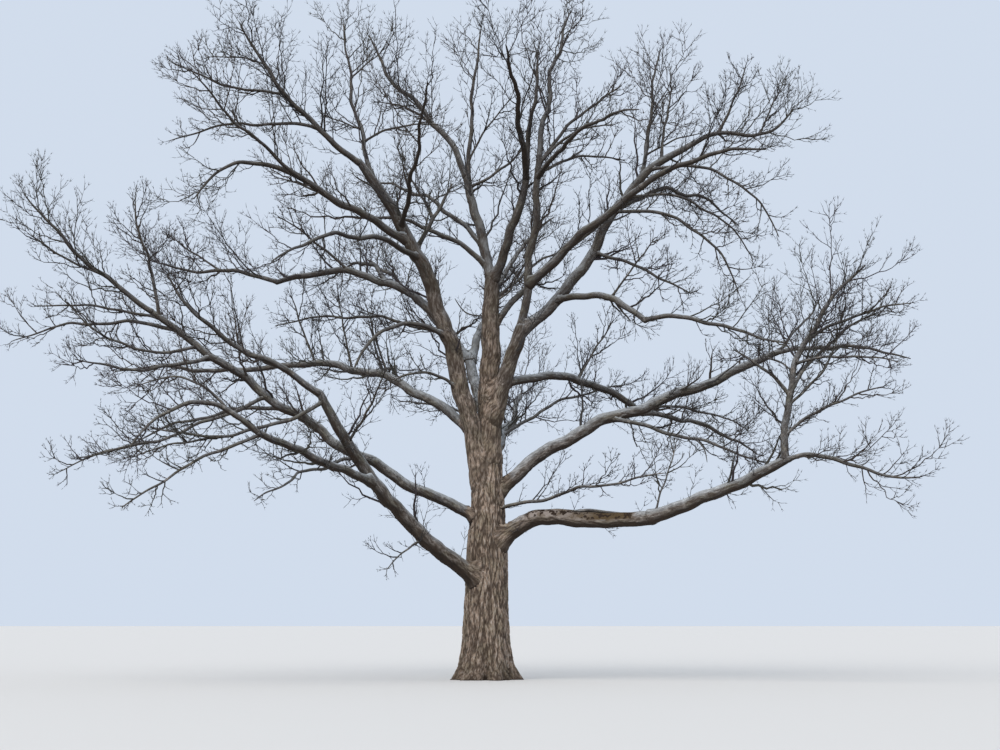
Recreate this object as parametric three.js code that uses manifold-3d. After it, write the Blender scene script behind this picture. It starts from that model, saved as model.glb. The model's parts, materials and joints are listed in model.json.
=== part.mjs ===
// A bare oak about 20 m tall: a trunk with its root flare, tapering boughs, and masses of twigs.
// Millimetres, +Z up. The origin is the middle of the flat cut at ground level.
// Seen from the front, +X is to the right and +Y is away from the viewer.

import * as THREE from "three";
import Module from "manifold-3d";

const wasm = await Module();
wasm.setup();

// The trunk, from the ground to its fork.
const FORK_HEIGHT = 6200;
const FORK_LEAN = 60; // how far its top stands to the right of its foot
const FORK_RADIUS = 400;
const TRUNK_SWELL = 260; // how much thicker it is low down
const SWELL_FALL = 2.2; // power by which the swell goes towards the fork
const FLARE_RADIUS = 280; // what the roots add at the ground
const FLARE_HEIGHT = 450; // height over which that falls to about a third
const ROOT_COUNT = 6;
const ROOT_DEPTH = 0.12; // share of the radius by which the roots stand out at the ground
const TRUNK_SIDES = 16;
const TRUNK_RINGS = [0, 180, 400, 750, 1300, 2200, 3200, 4200, 5000, 5700, FORK_HEIGHT];

// The boughs.
const LIMB_SIDES = 7;
const LIMB_STEP = 800; // length of one straight stretch
const LEAST_STRETCHES = 3;
const CROOK = 0.011; // share of its length by which a bough wanders from its line
const CROOK_LENGTH = 2300; // length of one such wander
const CROOK_RADIUS = 120; // a bough that is thicker than this at its foot wanders less, in proportion
const COLLAR = 0.45; // how much thicker a bough is where it leaves its parent
const TAPER_POWER = 0.6; // below 1, a bough keeps its thickness and thins towards its end
const SEAT_GAP = 0.3; // how far a limb stands off what it grows from
const SEAT_DEPTH = 0.4; // share of its radius by which a limb's line begins inside the end it goes on from

// The masses of twigs.
const STEM_SIDES = 4;
const STEM_STEP = 1000;
const STEM_TIP = 0.16; // share of its thick end's radius that a stem has at its tip
const TWIG_SIDES = 3;
const GOLDEN_ANGLE = 137.5; // degrees from one twig to the next round its stem
const SPACE_MARGIN = 140; // how much nearer a twig stays to its own stem than to any other
const LIMB_CLEARANCE = 60;
const PROBE_STEP = 130; // distance between the points at which a twig's way is tested
const GROUND_CLEARANCE = 1200;

// One order of branching after another: how far apart the side shoots stand on their parent, the shares
// of its length between which they stand, their lean from it in degrees, how strongly they turn up,
// their length as a share of the mass's spread, and their thickness as a share of their parent's.
const ORDERS = [
  { apart: 500, first: 0.14, last: 0.96, lean: 52, lift: 0.28, length: 1.0, thick: 0.34 },
  { apart: 400, first: 0.3, last: 0.92, lean: 42, lift: 0.22, length: 0.5, thick: 0.5 },
];
const MOST_SHOOTS = 16; // on one parent, so that no two shoots share a seed
const STEM_SEED = 101;
const MASS_SEED = 201;
const LENGTH_FALL = 0.45; // how much shorter a side shoot is at its parent's end than at its foot
const LENGTH_SPREAD = 0.3;
const LEAN_SPREAD = 14;

// A limb's way: bearing in degrees (0 to the right, 90 away, 180 to the left, 270 to the front), how far
// it reaches out and rises, how far its middle stands above the straight line, and how far it sways in an S.
function way(bearing, reach, rise, arch = 0, sway = 0) {
  return { bearing, reach, rise, arch, sway };
}

// A bough: what it grows from, at what share of that one's length, its way, and its radius at each end.
function bough(from, at, ownWay, thick, thin) {
  return { from, at, way: ownWay, thick, thin };
}

// A mass: the same for its stem, with the radius at the foot, and then the spread of its longest shoots.
function mass(from, at, ownWay, thick, spread) {
  return { from, at, way: ownWay, thick, thin: thick * STEM_TIP, spread };
}

const BOUGHS = {
  centre_stem: bough("trunk", 1, way(0, 100, 5700, 0, 0), 370, 190),
  left_leader: bough("trunk", 0.8, way(203, 4000, 9800, 700, -100), 310, 100),
  right_leader: bough("centre_stem", 0.2, way(322, 1200, 2900, 0, 0), 250, 190),
  spire: bough("right_leader", 1, way(315, 750, 5000, -100, 0), 130, 85),
  right_reach: bough("right_leader", 0.95, way(14, 5400, 6000, 200, -300), 180, 85),
  right_inner: bough("spire", 0.25, way(331, 3600, 2500, 100, 0), 135, 90),
  right_arm: bough("right_reach", 0.18, way(315, 3400, -1000, 400, 0), 105, 80),
  right_shelf: bough("right_leader", 0.45, way(36, 5300, -500, 600, 0), 135, 90),
  right_long: bough("trunk", 0.82, way(10, 8800, 4600, 450, 200), 210, 95),
  right_low: bough("trunk", 0.55, way(339, 4900, 1100, 650, 250), 255, 205),
  right_low_end: bough("right_low", 1, way(337, 4000, 1500, -100, 0), 205, 115),
  centre_left: bough("centre_stem", 1, way(135, 1100, 3300, 0, 0), 165, 110),
  centre_right: bough("centre_stem", 0.96, way(322, 1300, 3000, -100, 0), 150, 100),
  back_stem: bough("centre_stem", 0.25, way(107, 2100, 2100, -200, 0), 200, 150),
  back_left: bough("back_stem", 1, way(117, 3900, 2500, 100, 0), 150, 95),
  back_right: bough("back_stem", 0.92, way(75, 3800, 3500, 200, 0), 130, 90),
  back_low: bough("trunk", 0.9, way(82, 5600, 2400, 500, 0), 210, 100),
  left_high: bough("left_leader", 0.75, way(207, 3700, 1650, 0, 0), 120, 75),
  left_arch: bough("left_leader", 0.52, way(153, 5800, 1650, 800, 0), 130, 75),
  left_pale: bough("left_leader", 0.2, way(148, 7500, 2550, 750, 0), 150, 80),
  left_far: bough("trunk", 0.73, way(195, 9700, 5700, -350, -50), 170, 75),
  left_low: bough("trunk", 0.44, way(222, 6000, 5000, -600, 0), 250, 100),
  left_under: bough("left_low", 0.62, way(234, 4600, 1000, 0, 0), 130, 80),
};

const MASSES = {
  twigs_top_left: mass("left_leader", 1, way(197, 3600, 3900, -350, 0), 95, 1700),
  twigs_left_plume: mass("left_leader", 0.93, way(120, 2400, 5600, -300, 0), 75, 1600),
  twigs_left_front: mass("left_leader", 0.8, way(280, 5600, 2600, -250, 0), 80, 1900),
  twigs_left_droop: mass("left_leader", 0.7, way(236, 6400, -1200, 700, 0), 90, 1700),
  twigs_high_end: mass("left_high", 1, way(193, 2700, -900, 650, 0), 75, 1500),
  twigs_high_rise: mass("left_high", 0.85, way(215, 3800, 2700, -200, 0), 60, 1500),
  twigs_arch_end: mass("left_arch", 1, way(166, 4300, 900, 0, 100), 75, 1800),
  twigs_arch_back: mass("left_arch", 0.35, way(112, 5000, 1200, 500, 0), 80, 1900),
  twigs_pale_end: mass("left_pale", 1, way(168, 5400, 0, 0, -100), 90, 1700),
  twigs_pale_back: mass("left_pale", 0.4, way(98, 4800, 600, 500, 0), 80, 1900),
  twigs_far_up: mass("left_far", 1, way(199, 3600, 3100, -200, 0), 80, 1500),
  twigs_far_low: mass("left_far", 0.92, way(166, 5200, -100, 400, 0), 60, 1300),
  twigs_far_under: mass("left_far", 0.82, way(222, 4200, -500, -300, 0), 65, 1400),
  twigs_far_back: mass("left_far", 0.6, way(163, 4800, -900, 300, 0), 65, 1500),
  twigs_low_rise: mass("left_low", 1, way(207, 4300, 2900, -350, 150), 100, 1600),
  twigs_under_out: mass("left_under", 1, way(205, 3300, -500, 950, 0), 80, 1500),
  twigs_left_skirt: mass("left_far", 0.36, way(245, 5600, -1600, 200, 0), 60, 1300),
  twigs_crown_left: mass("centre_left", 1, way(150, 3600, 5100, 0, 200), 105, 1800),
  twigs_crown_mid: mass("centre_left", 0.92, way(40, 500, 5100, 100, 0), 75, 1600),
  twigs_crown_back: mass("centre_left", 0.3, way(130, 6000, 3200, 500, 0), 85, 2000),
  twigs_crown_front: mass("centre_right", 1, way(262, 4400, 2600, 400, 0), 100, 1900),
  twigs_spire_top: mass("spire", 1, way(68, 2800, 5400, 300, 0), 90, 1700),
  twigs_spire_front: mass("spire", 0.88, way(295, 6000, 400, 500, 0), 75, 1900),
  twigs_inner_end: mass("right_inner", 1, way(330, 3800, 600, 350, 0), 95, 1700),
  twigs_reach_end: mass("right_reach", 1, way(4, 3200, 1300, -300, 250), 80, 1500),
  twigs_reach_rise: mass("right_reach", 0.75, way(70, 2600, 4900, 0, -150), 70, 1700),
  twigs_reach_back: mass("right_reach", 0.55, way(49, 7000, 1000, 1000, 0), 85, 2000),
  twigs_arm_end: mass("right_arm", 1, way(331, 4200, -1000, 200, 100), 75, 1600),
  twigs_shelf_end: mass("right_shelf", 1, way(44, 5800, -900, 300, 0), 90, 1700),
  twigs_long_end: mass("right_long", 1, way(13, 4500, 0, 300, 0), 80, 1500),
  twigs_long_rise: mass("right_long", 0.9, way(40, 3600, 2600, -350, 0), 65, 1500),
  twigs_low_out: mass("right_low_end", 0.93, way(332, 3900, -500, 200, 200), 75, 1300),
  twigs_riser: mass("right_low_end", 1, way(12, 2500, 5500, 750, 0), 115, 1500),
  twigs_back_left: mass("back_left", 1, way(118, 4200, 2200, 100, 0), 95, 2000),
  twigs_back_right: mass("back_right", 1, way(66, 4500, 3000, 200, 0), 90, 2000),
  twigs_back_low: mass("back_low", 1, way(85, 4600, 1600, 300, 0), 100, 2000),
};

// The materials.
const TRUNK_BARK = { color: 0x6b6156, roughness: 0.95, metalness: 0 };
const BOUGH_BARK = { color: 0x7b746a, roughness: 0.92, metalness: 0 };
const TWIG_BARK = { color: 0x5a4f47, roughness: 0.9, metalness: 0 };

const UP = new THREE.Vector3(0, 0, 1);
const SIDEWAYS = 0.8; // a line that runs more than this along X has its first ring started from Y

// Draws numbers from 0 to 1 that are the same each time for the same seed.
const SEED_SPREAD = 2654435761;
const DRAW_FACTOR = 1664525;
const DRAW_STEP = 1013904223;
const DRAW_RANGE = 2 ** 32;
function seededRandom(seed) {
  let state = Math.imul(seed, SEED_SPREAD) >>> 0;
  return () => {
    state = (Math.imul(state, DRAW_FACTOR) + DRAW_STEP) >>> 0;
    return state / DRAW_RANGE;
  };
}

// The trunk's spine, and its radius at a height and an angle round it.
class Trunk {
  constructor() {
    this.length = FORK_HEIGHT;
    this.line = TRUNK_RINGS.map((height) => this.point(height / FORK_HEIGHT));
  }

  point(share) {
    return new THREE.Vector3(FORK_LEAN * share * share, 0, FORK_HEIGHT * share);
  }

  radius(share) {
    const flare = FLARE_RADIUS * Math.exp((-FORK_HEIGHT * share) / FLARE_HEIGHT);
    return FORK_RADIUS + TRUNK_SWELL * (1 - share ** SWELL_FALL) + flare;
  }

  rootRadius(share, angle) {
    const depth = ROOT_DEPTH * Math.exp((-FORK_HEIGHT * share) / FLARE_HEIGHT);
    return this.radius(share) * (1 + depth * Math.cos(ROOT_COUNT * angle));
  }

  // A closed solid of level rings. Grown by the seat gap, it is what the boughs are cut with.
  geometry(growth = 0) {
    const rings = TRUNK_RINGS.map((height, index) => {
      const share = height / FORK_HEIGHT;
      const centre = this.point(share);
      if (index === TRUNK_RINGS.length - 1) centre.z += growth;
      return Array.from({ length: TRUNK_SIDES }, (_, side) => {
        const angle = (2 * Math.PI * side) / TRUNK_SIDES;
        const radius = this.rootRadius(share, angle) + growth;
        return centre.clone().add(new THREE.Vector3(radius * Math.cos(angle), radius * Math.sin(angle), 0));
      });
    });
    return loft(rings);
  }
}

// A tapering limb from its parent's spine to its own tip, with a crook of its own.
class Limb {
  constructor(name, start, parentRadius, own, seed) {
    const { bearing, reach, rise, arch, sway } = own.way;
    const angle = THREE.MathUtils.degToRad(bearing);
    const outward = new THREE.Vector3(Math.cos(angle), Math.sin(angle), 0);
    this.name = name;
    this.start = start;
    this.run = outward.clone().multiplyScalar(reach).addScaledVector(UP, rise);
    this.length = this.run.length();
    this.lift = UP.clone().multiplyScalar(reach).addScaledVector(outward, -rise).divideScalar(this.length);
    this.aside = new THREE.Vector3(-outward.y, outward.x, 0);
    Object.assign(this, { arch, sway, parentRadius, thick: own.thick, thin: own.thin });
    this.collar = own.at === 1 ? 0 : COLLAR;
    this.crook = CROOK * Math.min(1, CROOK_RADIUS / own.thick);
    const random = seededRandom(seed);
    this.phases = [random(), random()].map((part) => 2 * Math.PI * part);
  }

  point(share) {
    const wander = this.crook * this.length * Math.sin(Math.PI * share);
    const turns = (2 * Math.PI * this.length * share) / CROOK_LENGTH;
    const bow = 4 * this.arch * share * (1 - share) + this.sway * Math.sin(2 * Math.PI * share);
    return this.start
      .clone()
      .addScaledVector(this.run, share)
      .addScaledVector(this.lift, bow + wander * Math.sin(turns + this.phases[0]))
      .addScaledVector(this.aside, wander * Math.sin(turns + this.phases[1]));
  }

  radius(share) {
    const plain = this.thin + (this.thick - this.thin) * (1 - share) ** TAPER_POWER;
    const collar = this.collar * Math.exp((-this.length * share) / (this.parentRadius + this.thick));
    return plain * (1 + collar);
  }

  spine(step) {
    const count = Math.max(LEAST_STRETCHES, Math.round(this.length / step));
    const shares = Array.from({ length: count + 1 }, (_, index) => index / count);
    const points = shares.map((share) => this.point(share));
    return { points, radii: shares.map((share) => this.radius(share)) };
  }

  // A closed tube along the spine. Grown by the seat gap, it is what later limbs are cut with.
  geometry(sides, step, growth = 0) {
    const { points, radii } = this.spine(step);
    const ends = [points[0].clone().sub(points[1]), points.at(-1).clone().sub(points.at(-2))];
    points[0].addScaledVector(ends[0].normalize(), growth);
    points.at(-1).addScaledVector(ends[1].normalize(), growth);
    return loft(ringsAlong(points, radii.map((radius) => radius + growth), sides));
  }
}

// Rings of points round a spine, each square to it and turned as little as can be from the one before.
function ringsAlong(points, radii, sides) {
  const tangents = points.map((_, index) => {
    const before = points[Math.max(0, index - 1)];
    const after = points[Math.min(points.length - 1, index + 1)];
    return after.clone().sub(before).normalize();
  });
  let across = new THREE.Vector3(1, 0, 0);
  if (Math.abs(tangents[0].x) > SIDEWAYS) across = new THREE.Vector3(0, 1, 0);
  return points.map((point, index) => {
    const tangent = tangents[index];
    across = across.clone().addScaledVector(tangent, -across.dot(tangent)).normalize();
    const side = tangent.clone().cross(across);
    return Array.from({ length: sides }, (_, corner) => {
      const angle = (2 * Math.PI * corner) / sides;
      return point
        .clone()
        .addScaledVector(across, radii[index] * Math.cos(angle))
        .addScaledVector(side, radii[index] * Math.sin(angle));
    });
  });
}

// A closed surface through rings of points, with a flat fan over the first ring and the last.
// A single point may follow the rings, and then they run out to it.
function loft(rings, tip = null) {
  const sides = rings[0].length;
  const vertices = rings.flat();
  const faces = [];
  for (let ring = 0; ring < rings.length - 1; ring += 1) {
    for (let corner = 0; corner < sides; corner += 1) {
      const near = ring * sides + corner;
      const next = ring * sides + ((corner + 1) % sides);
      faces.push(near, next, next + sides, near, next + sides, near + sides);
    }
  }
  for (let corner = 1; corner < sides - 1; corner += 1) faces.push(0, corner + 1, corner);
  const last = (rings.length - 1) * sides;
  if (tip) {
    vertices.push(tip);
    for (let corner = 0; corner < sides; corner += 1) {
      faces.push(last + corner, last + ((corner + 1) % sides), vertices.length - 1);
    }
  } else {
    for (let corner = 1; corner < sides - 1; corner += 1) faces.push(last, last + corner, last + corner + 1);
  }
  const numbers = vertices.flatMap((vertex) => vertex.toArray());
  const geometry = new THREE.BufferGeometry();
  geometry.setAttribute("position", new THREE.Float32BufferAttribute(numbers, 3));
  geometry.setIndex(faces);
  return geometry;
}

// A solid from a closed surface, and a surface from a solid.
function solidOf(geometry) {
  const vertProperties = new Float32Array(geometry.getAttribute("position").array);
  const triVerts = new Uint32Array(geometry.getIndex().array);
  return new wasm.Manifold(new wasm.Mesh({ numProp: 3, vertProperties, triVerts }));
}

function surfaceOf(solid) {
  const mesh = solid.getMesh();
  const geometry = new THREE.BufferGeometry();
  geometry.setAttribute("position", new THREE.BufferAttribute(mesh.vertProperties, 3));
  geometry.setIndex(new THREE.BufferAttribute(mesh.triVerts, 1));
  geometry.computeVertexNormals();
  return geometry;
}

// The largest body of a solid. Loose scraps are dropped, and a hollow that is sealed in it is filled.
function largestBody(solid) {
  return solid.decompose().reduce((best, body) => (body.volume() > best.volume() ? body : best));
}

// A solid less each cutter whose box meets its own.
function cutBy(solid, cutters) {
  const box = boxOf(solid);
  const near = cutters.filter((cutter) => cutter.box.intersectsBox(box));
  return largestBody(near.reduce((rest, cutter) => rest.subtract(cutter.solid), solid));
}

function boxOf(solid) {
  const { min, max } = solid.boundingBox();
  return new THREE.Box3(new THREE.Vector3(...min), new THREE.Vector3(...max));
}

// The distance from a point to a line of points, and where on it the nearest place lies.
function nearestOn(points, place) {
  const stretch = new THREE.Line3();
  const nearest = new THREE.Vector3();
  let best = { distance: Infinity, share: 0 };
  for (let index = 0; index < points.length - 1; index += 1) {
    stretch.set(points[index], points[index + 1]);
    const part = stretch.closestPointToPointParameter(place, true);
    const distance = stretch.at(part, nearest).distanceTo(place);
    if (distance < best.distance) best = { distance, share: (index + part) / (points.length - 1) };
  }
  return best;
}

// True where every place of a twig stays nearer to its own stem than to any other, and clear of the limbs.
function staysInSpace(places, stem, stems, limbs) {
  return places.every((place) => {
    if (place.z < GROUND_CLEARANCE) return false;
    const limit = nearestOn(stem.line, place).distance + SPACE_MARGIN;
    if (stems.some((other) => other !== stem && nearestOn(other.line, place).distance < limit)) return false;
    return limbs.every((limb) => {
      const { distance, share } = nearestOn(limb.line, place);
      return distance > limb.radius(share) + LIMB_CLEARANCE;
    });
  });
}

// The places along a straight shoot, close enough together that nothing is passed over between them.
function placesAlong({ foot, tip }) {
  const count = Math.ceil(foot.distanceTo(tip) / PROBE_STEP);
  return Array.from({ length: count }, (_, index) => foot.clone().lerp(tip, (index + 1) / count));
}

// The place and the direction at a share of a line of points.
function alongLine(points, share) {
  const stretch = Math.min(points.length - 2, Math.floor(share * (points.length - 1)));
  const part = share * (points.length - 1) - stretch;
  const place = points[stretch].clone().lerp(points[stretch + 1], part);
  return { place, direction: points[stretch + 1].clone().sub(points[stretch]).normalize() };
}

// One side shoot: it leans from its parent, is turned round it by its spin, and bends up by its lift.
function shootFrom(parent, share, spin, rule, spread, random) {
  const { place, direction } = alongLine(parent.points, share);
  const lean = THREE.MathUtils.degToRad(rule.lean + LEAN_SPREAD * (2 * random() - 1));
  const across = UP.clone().cross(direction).normalize();
  const side = across.applyAxisAngle(direction, THREE.MathUtils.degToRad(spin));
  const heading = direction.clone().multiplyScalar(Math.cos(lean)).addScaledVector(side, Math.sin(lean));
  const length = spread * rule.length * (1 - LENGTH_FALL * share) * (1 + LENGTH_SPREAD * (2 * random() - 1));
  const tip = place.clone().addScaledVector(heading, length).addScaledVector(UP, length * rule.lift);
  const thick = rule.thick * (parent.thick + (parent.thin - parent.thick) * share);
  return { foot: place, tip, points: [place, tip], thick, thin: 0 };
}

// A mass's side shoots by the seeded rule, one order after another. One that isn't allowed is skipped.
function branch(parent, seed, order, spread, allowed) {
  if (order === ORDERS.length) return [];
  const rule = ORDERS[order];
  const length = parent.points[0].distanceTo(parent.points.at(-1));
  const count = Math.round(((rule.last - rule.first) * length) / rule.apart);
  const shoots = [];
  for (let index = 0; index < count; index += 1) {
    const ownSeed = seed * MOST_SHOOTS + index + 1;
    const random = seededRandom(ownSeed);
    const share = rule.first + ((rule.last - rule.first) * (index + random())) / count;
    const spin = GOLDEN_ANGLE * (seed + index);
    const shoot = shootFrom(parent, share, spin, rule, spread, random);
    if (allowed(placesAlong(shoot))) {
      shoots.push(shoot, ...branch(shoot, ownSeed, order + 1, spread, allowed));
    }
  }
  return shoots;
}

// A three-sided twig that runs out to a point.
function twigGeometry({ points, thick, thin }) {
  return loft(ringsAlong(points, [thick, thin], TWIG_SIDES).slice(0, -1), points.at(-1));
}

// The tree, node by node. Each limb or mass is cut by the seats of those made before it.
class Oak {
  constructor() {
    this.group = new THREE.Group();
    this.limbs = {};
    this.cutters = [];
  }

  add(name, solid, seat, finish) {
    const surface = surfaceOf(cutBy(solid, this.cutters));
    const mesh = new THREE.Mesh(surface, new THREE.MeshStandardMaterial(finish));
    mesh.name = name;
    this.group.add(mesh);
    this.cutters.push({ solid: seat, box: boxOf(seat) });
  }

  // A limb begins on its parent's spine, or just inside that one's end where it goes on from it.
  grow(name, own, seed) {
    const parent = this.limbs[own.from];
    const radius = parent.radius(own.at);
    const share = own.at === 1 ? 1 - (SEAT_DEPTH * radius) / parent.length : own.at;
    return new Limb(name, parent.point(share), radius, own, seed);
  }

  addTrunk() {
    const trunk = new Trunk();
    this.limbs.trunk = trunk;
    this.add("trunk", solidOf(trunk.geometry()), solidOf(trunk.geometry(SEAT_GAP)), TRUNK_BARK);
  }

  addBough([name, own], index) {
    const limb = this.grow(name, own, index + 1);
    limb.line = limb.spine(LIMB_STEP).points;
    this.limbs[name] = limb;
    const solid = solidOf(limb.geometry(LIMB_SIDES, LIMB_STEP));
    const seat = solidOf(limb.geometry(LIMB_SIDES, LIMB_STEP, SEAT_GAP));
    this.add(name, solid, seat, BOUGH_BARK);
  }

  // The stems come before the first twigs, because each mass keeps clear of all the other stems.
  addMasses() {
    const limbs = Object.values(this.limbs);
    const stems = Object.entries(MASSES).map(([name, own], index) => {
      const stem = this.grow(name, own, STEM_SEED + index);
      stem.line = stem.spine(STEM_STEP).points;
      return Object.assign(stem, { points: stem.line, spread: own.spread, seed: MASS_SEED + index });
    });
    for (const stem of stems) {
      const allowed = (places) => staysInSpace(places, stem, stems, limbs);
      const shoots = branch(stem, stem.seed, 0, stem.spread, allowed);
      const core = solidOf(stem.geometry(STEM_SIDES, STEM_STEP));
      const seat = solidOf(stem.geometry(STEM_SIDES, STEM_STEP, SEAT_GAP));
      const twigs = shoots.map((shoot) => solidOf(twigGeometry(shoot)));
      this.add(stem.name, wasm.Manifold.union([core, ...twigs]), seat, TWIG_BARK);
    }
  }
}

const oak = new Oak();
oak.addTrunk();
Object.entries(BOUGHS).forEach((entry, index) => oak.addBough(entry, index));
oak.addMasses();

export default oak.group;
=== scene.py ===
"""Dresses the bare oak: furrowed bark on its trunk and boughs, and twigs carried on to the finest.

Metres, +Z up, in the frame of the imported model. Seen from the front, +X is to the right and +Y is away.
"""

import json
import logging
import math
from dataclasses import dataclass, field, fields, replace
from enum import Enum

import bpy
import numpy as np
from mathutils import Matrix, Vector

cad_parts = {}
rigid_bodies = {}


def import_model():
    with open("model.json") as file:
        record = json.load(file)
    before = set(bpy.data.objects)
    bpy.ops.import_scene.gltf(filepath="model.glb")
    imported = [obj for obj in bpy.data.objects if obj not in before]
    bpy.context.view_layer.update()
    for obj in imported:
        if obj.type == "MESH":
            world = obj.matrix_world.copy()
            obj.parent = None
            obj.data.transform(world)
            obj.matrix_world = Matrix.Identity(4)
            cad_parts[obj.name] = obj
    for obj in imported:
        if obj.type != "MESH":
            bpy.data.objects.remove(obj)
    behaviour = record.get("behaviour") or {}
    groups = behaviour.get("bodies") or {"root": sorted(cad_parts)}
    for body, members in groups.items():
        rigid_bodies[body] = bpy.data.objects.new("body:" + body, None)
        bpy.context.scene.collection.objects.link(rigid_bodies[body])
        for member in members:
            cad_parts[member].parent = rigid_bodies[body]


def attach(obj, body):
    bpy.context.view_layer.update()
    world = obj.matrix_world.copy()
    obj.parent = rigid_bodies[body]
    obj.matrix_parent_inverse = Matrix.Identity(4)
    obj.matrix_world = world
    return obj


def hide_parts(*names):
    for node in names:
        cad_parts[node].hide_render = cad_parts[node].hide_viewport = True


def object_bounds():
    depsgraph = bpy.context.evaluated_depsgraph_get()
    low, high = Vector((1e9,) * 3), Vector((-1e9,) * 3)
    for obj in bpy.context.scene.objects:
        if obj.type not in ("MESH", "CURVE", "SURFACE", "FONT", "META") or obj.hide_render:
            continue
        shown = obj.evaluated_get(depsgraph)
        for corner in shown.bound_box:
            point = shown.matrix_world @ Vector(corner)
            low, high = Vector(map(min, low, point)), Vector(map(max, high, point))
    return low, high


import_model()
cad_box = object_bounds()

log = logging.getLogger("oak")

Array = np.ndarray
Colour = tuple[float, float, float]
Span = tuple[float, float]
Socket = bpy.types.NodeSocket
RIGHT = np.array([1.0, 0.0, 0.0])
UP = np.array([0.0, 0.0, 1.0])
MARKS = ("furrow", "bare", "decay", "age")  # what the bark's material reads as one number a corner
TURN = 2 * math.pi


def unit(vectors: Array) -> Array:
    """The directions of rows of vectors, each of length 1."""
    return vectors / np.linalg.norm(vectors, axis=1, keepdims=True)


def spokes_round(across: Array, side: Array, angles: Array) -> Array:
    """The directions at angles from one direction towards another: a row a place, and a column an angle."""
    ahead, aside = np.cos(angles)[None, :, None], np.sin(angles)[None, :, None]
    return across[:, None, :] * ahead + side[:, None, :] * aside


def ring_walls(count: int, sides: int) -> Array:
    """The faces between rings of corners that follow one another.

    Args:
        count: How many rings there are.
        sides: How many corners a ring has.

    Returns:
        Three-cornered faces.
    """
    ring = np.arange(count - 1)[:, None] * sides
    near = (ring + np.arange(sides)).ravel()
    beside = (ring + (np.arange(sides) + 1) % sides).ravel()
    halves = (near, beside, beside + sides), (near, beside + sides, near + sides)
    return np.concatenate([np.stack(half, axis=1) for half in halves])


class Region(Enum):
    """The parts of the crown that are joined into pieces of their own."""

    LEFT_LOW = "left_low"
    LEFT_TOP = "left_top"
    MIDDLE = "middle"
    RIGHT_TOP = "right_top"
    RIGHT_LOW = "right_low"


@dataclass(frozen=True)
class Way:
    """Where a limb goes.

    bearing is in degrees: 0 to the right, 90 away, 180 to the left, 270 to the front. reach is how far it
    goes level and rise how far up. arch is how far its middle stands above the straight line. sway is how
    far it swings in an S.
    """

    bearing: float
    reach: float
    rise: float
    arch: float = 0.0
    sway: float = 0.0


@dataclass(frozen=True)
class Plan:
    """What a limb grows from, at what share of that one's length, its way, and its radius at each end.

    spread sets how long its shoots are: all boughs have the same, and a dead limb has none. full is the
    share of its shoots that it has kept.
    """

    parent: str
    at: float
    way: Way
    thick: float
    thin: float
    spread: float = 0.0
    full: float = 1.0


STEM_TIP = 0.16  # share of its thick end's radius that a mass's stem has at its tip


def mass(parent: str, at: float, way: Way, thick: float, spread: float, full: float = 1.0) -> Plan:
    """A plan for the stem of a mass of twigs, which thins nearly to nothing."""
    return Plan(parent, at, way, thick, thick * STEM_TIP, spread, full)


BOUGHS = {
    "centre_stem": Plan("trunk", 1, Way(0, 0.1, 5.7), 0.37, 0.19, full=0.25),
    "left_leader": Plan("trunk", 0.8, Way(203, 4.0, 9.8, 0.7, -0.1), 0.31, 0.1, full=0.38),
    "right_leader": Plan("centre_stem", 0.2, Way(322, 1.2, 2.9), 0.25, 0.19, full=0.35),
    "spire": Plan("right_leader", 1, Way(315, 0.75, 5.0, -0.1), 0.13, 0.085, full=0.45),
    "right_reach": Plan("right_leader", 0.95, Way(14, 5.4, 6.0, 0.2, -0.3), 0.18, 0.085, full=0.5),
    "right_inner": Plan("spire", 0.25, Way(331, 3.6, 2.5, 0.1), 0.135, 0.09, full=0.3),
    "right_arm": Plan("right_reach", 0.18, Way(315, 3.4, -1.0, 0.4), 0.105, 0.08, full=0.6),
    "right_shelf": Plan("right_leader", 0.45, Way(36, 5.3, -0.5, 0.6), 0.135, 0.09, full=0.5),
    "right_long": Plan("trunk", 0.82, Way(10, 8.8, 4.6, 0.45, 0.2), 0.21, 0.095, full=0.4),
    "right_low": Plan("trunk", 0.55, Way(339, 4.9, 1.1, 0.65, 0.25), 0.255, 0.205, full=0.1),
    "right_low_end": Plan("right_low", 1, Way(337, 4.0, 1.5, -0.1), 0.205, 0.115, full=0.6),
    "centre_left": Plan("centre_stem", 1, Way(135, 1.1, 3.3), 0.165, 0.11, full=0.6),
    "centre_right": Plan("centre_stem", 0.96, Way(322, 1.3, 3.0, -0.1), 0.15, 0.1, full=0.6),
    "back_stem": Plan("centre_stem", 0.25, Way(107, 2.1, 2.1, -0.2), 0.2, 0.15, full=0.2),
    "back_left": Plan("back_stem", 1, Way(117, 3.9, 2.5, 0.1), 0.15, 0.095, full=0.6),
    "back_right": Plan("back_stem", 0.92, Way(75, 3.8, 3.5, 0.2), 0.13, 0.09, full=0.6),
    "back_low": Plan("trunk", 0.9, Way(82, 5.6, 2.4, 0.5), 0.21, 0.1, full=0.4),
    "left_high": Plan("left_leader", 0.75, Way(207, 3.7, 1.65), 0.12, 0.075, full=0.7),
    "left_arch": Plan("left_leader", 0.52, Way(153, 5.8, 1.65, 0.8), 0.13, 0.075, full=0.5),
    "left_pale": Plan("left_leader", 0.2, Way(148, 7.5, 2.55, 0.75), 0.15, 0.08, full=0.7),
    "left_far": Plan("trunk", 0.73, Way(195, 9.7, 5.7, -0.35, -0.05), 0.17, 0.075, full=0.5),
    "left_low": Plan("trunk", 0.44, Way(222, 6.0, 5.0, -0.6), 0.25, 0.1, full=0.35),
    "left_under": Plan("left_low", 0.62, Way(234, 4.6, 1.0), 0.13, 0.08, full=0.6),
}

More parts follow.
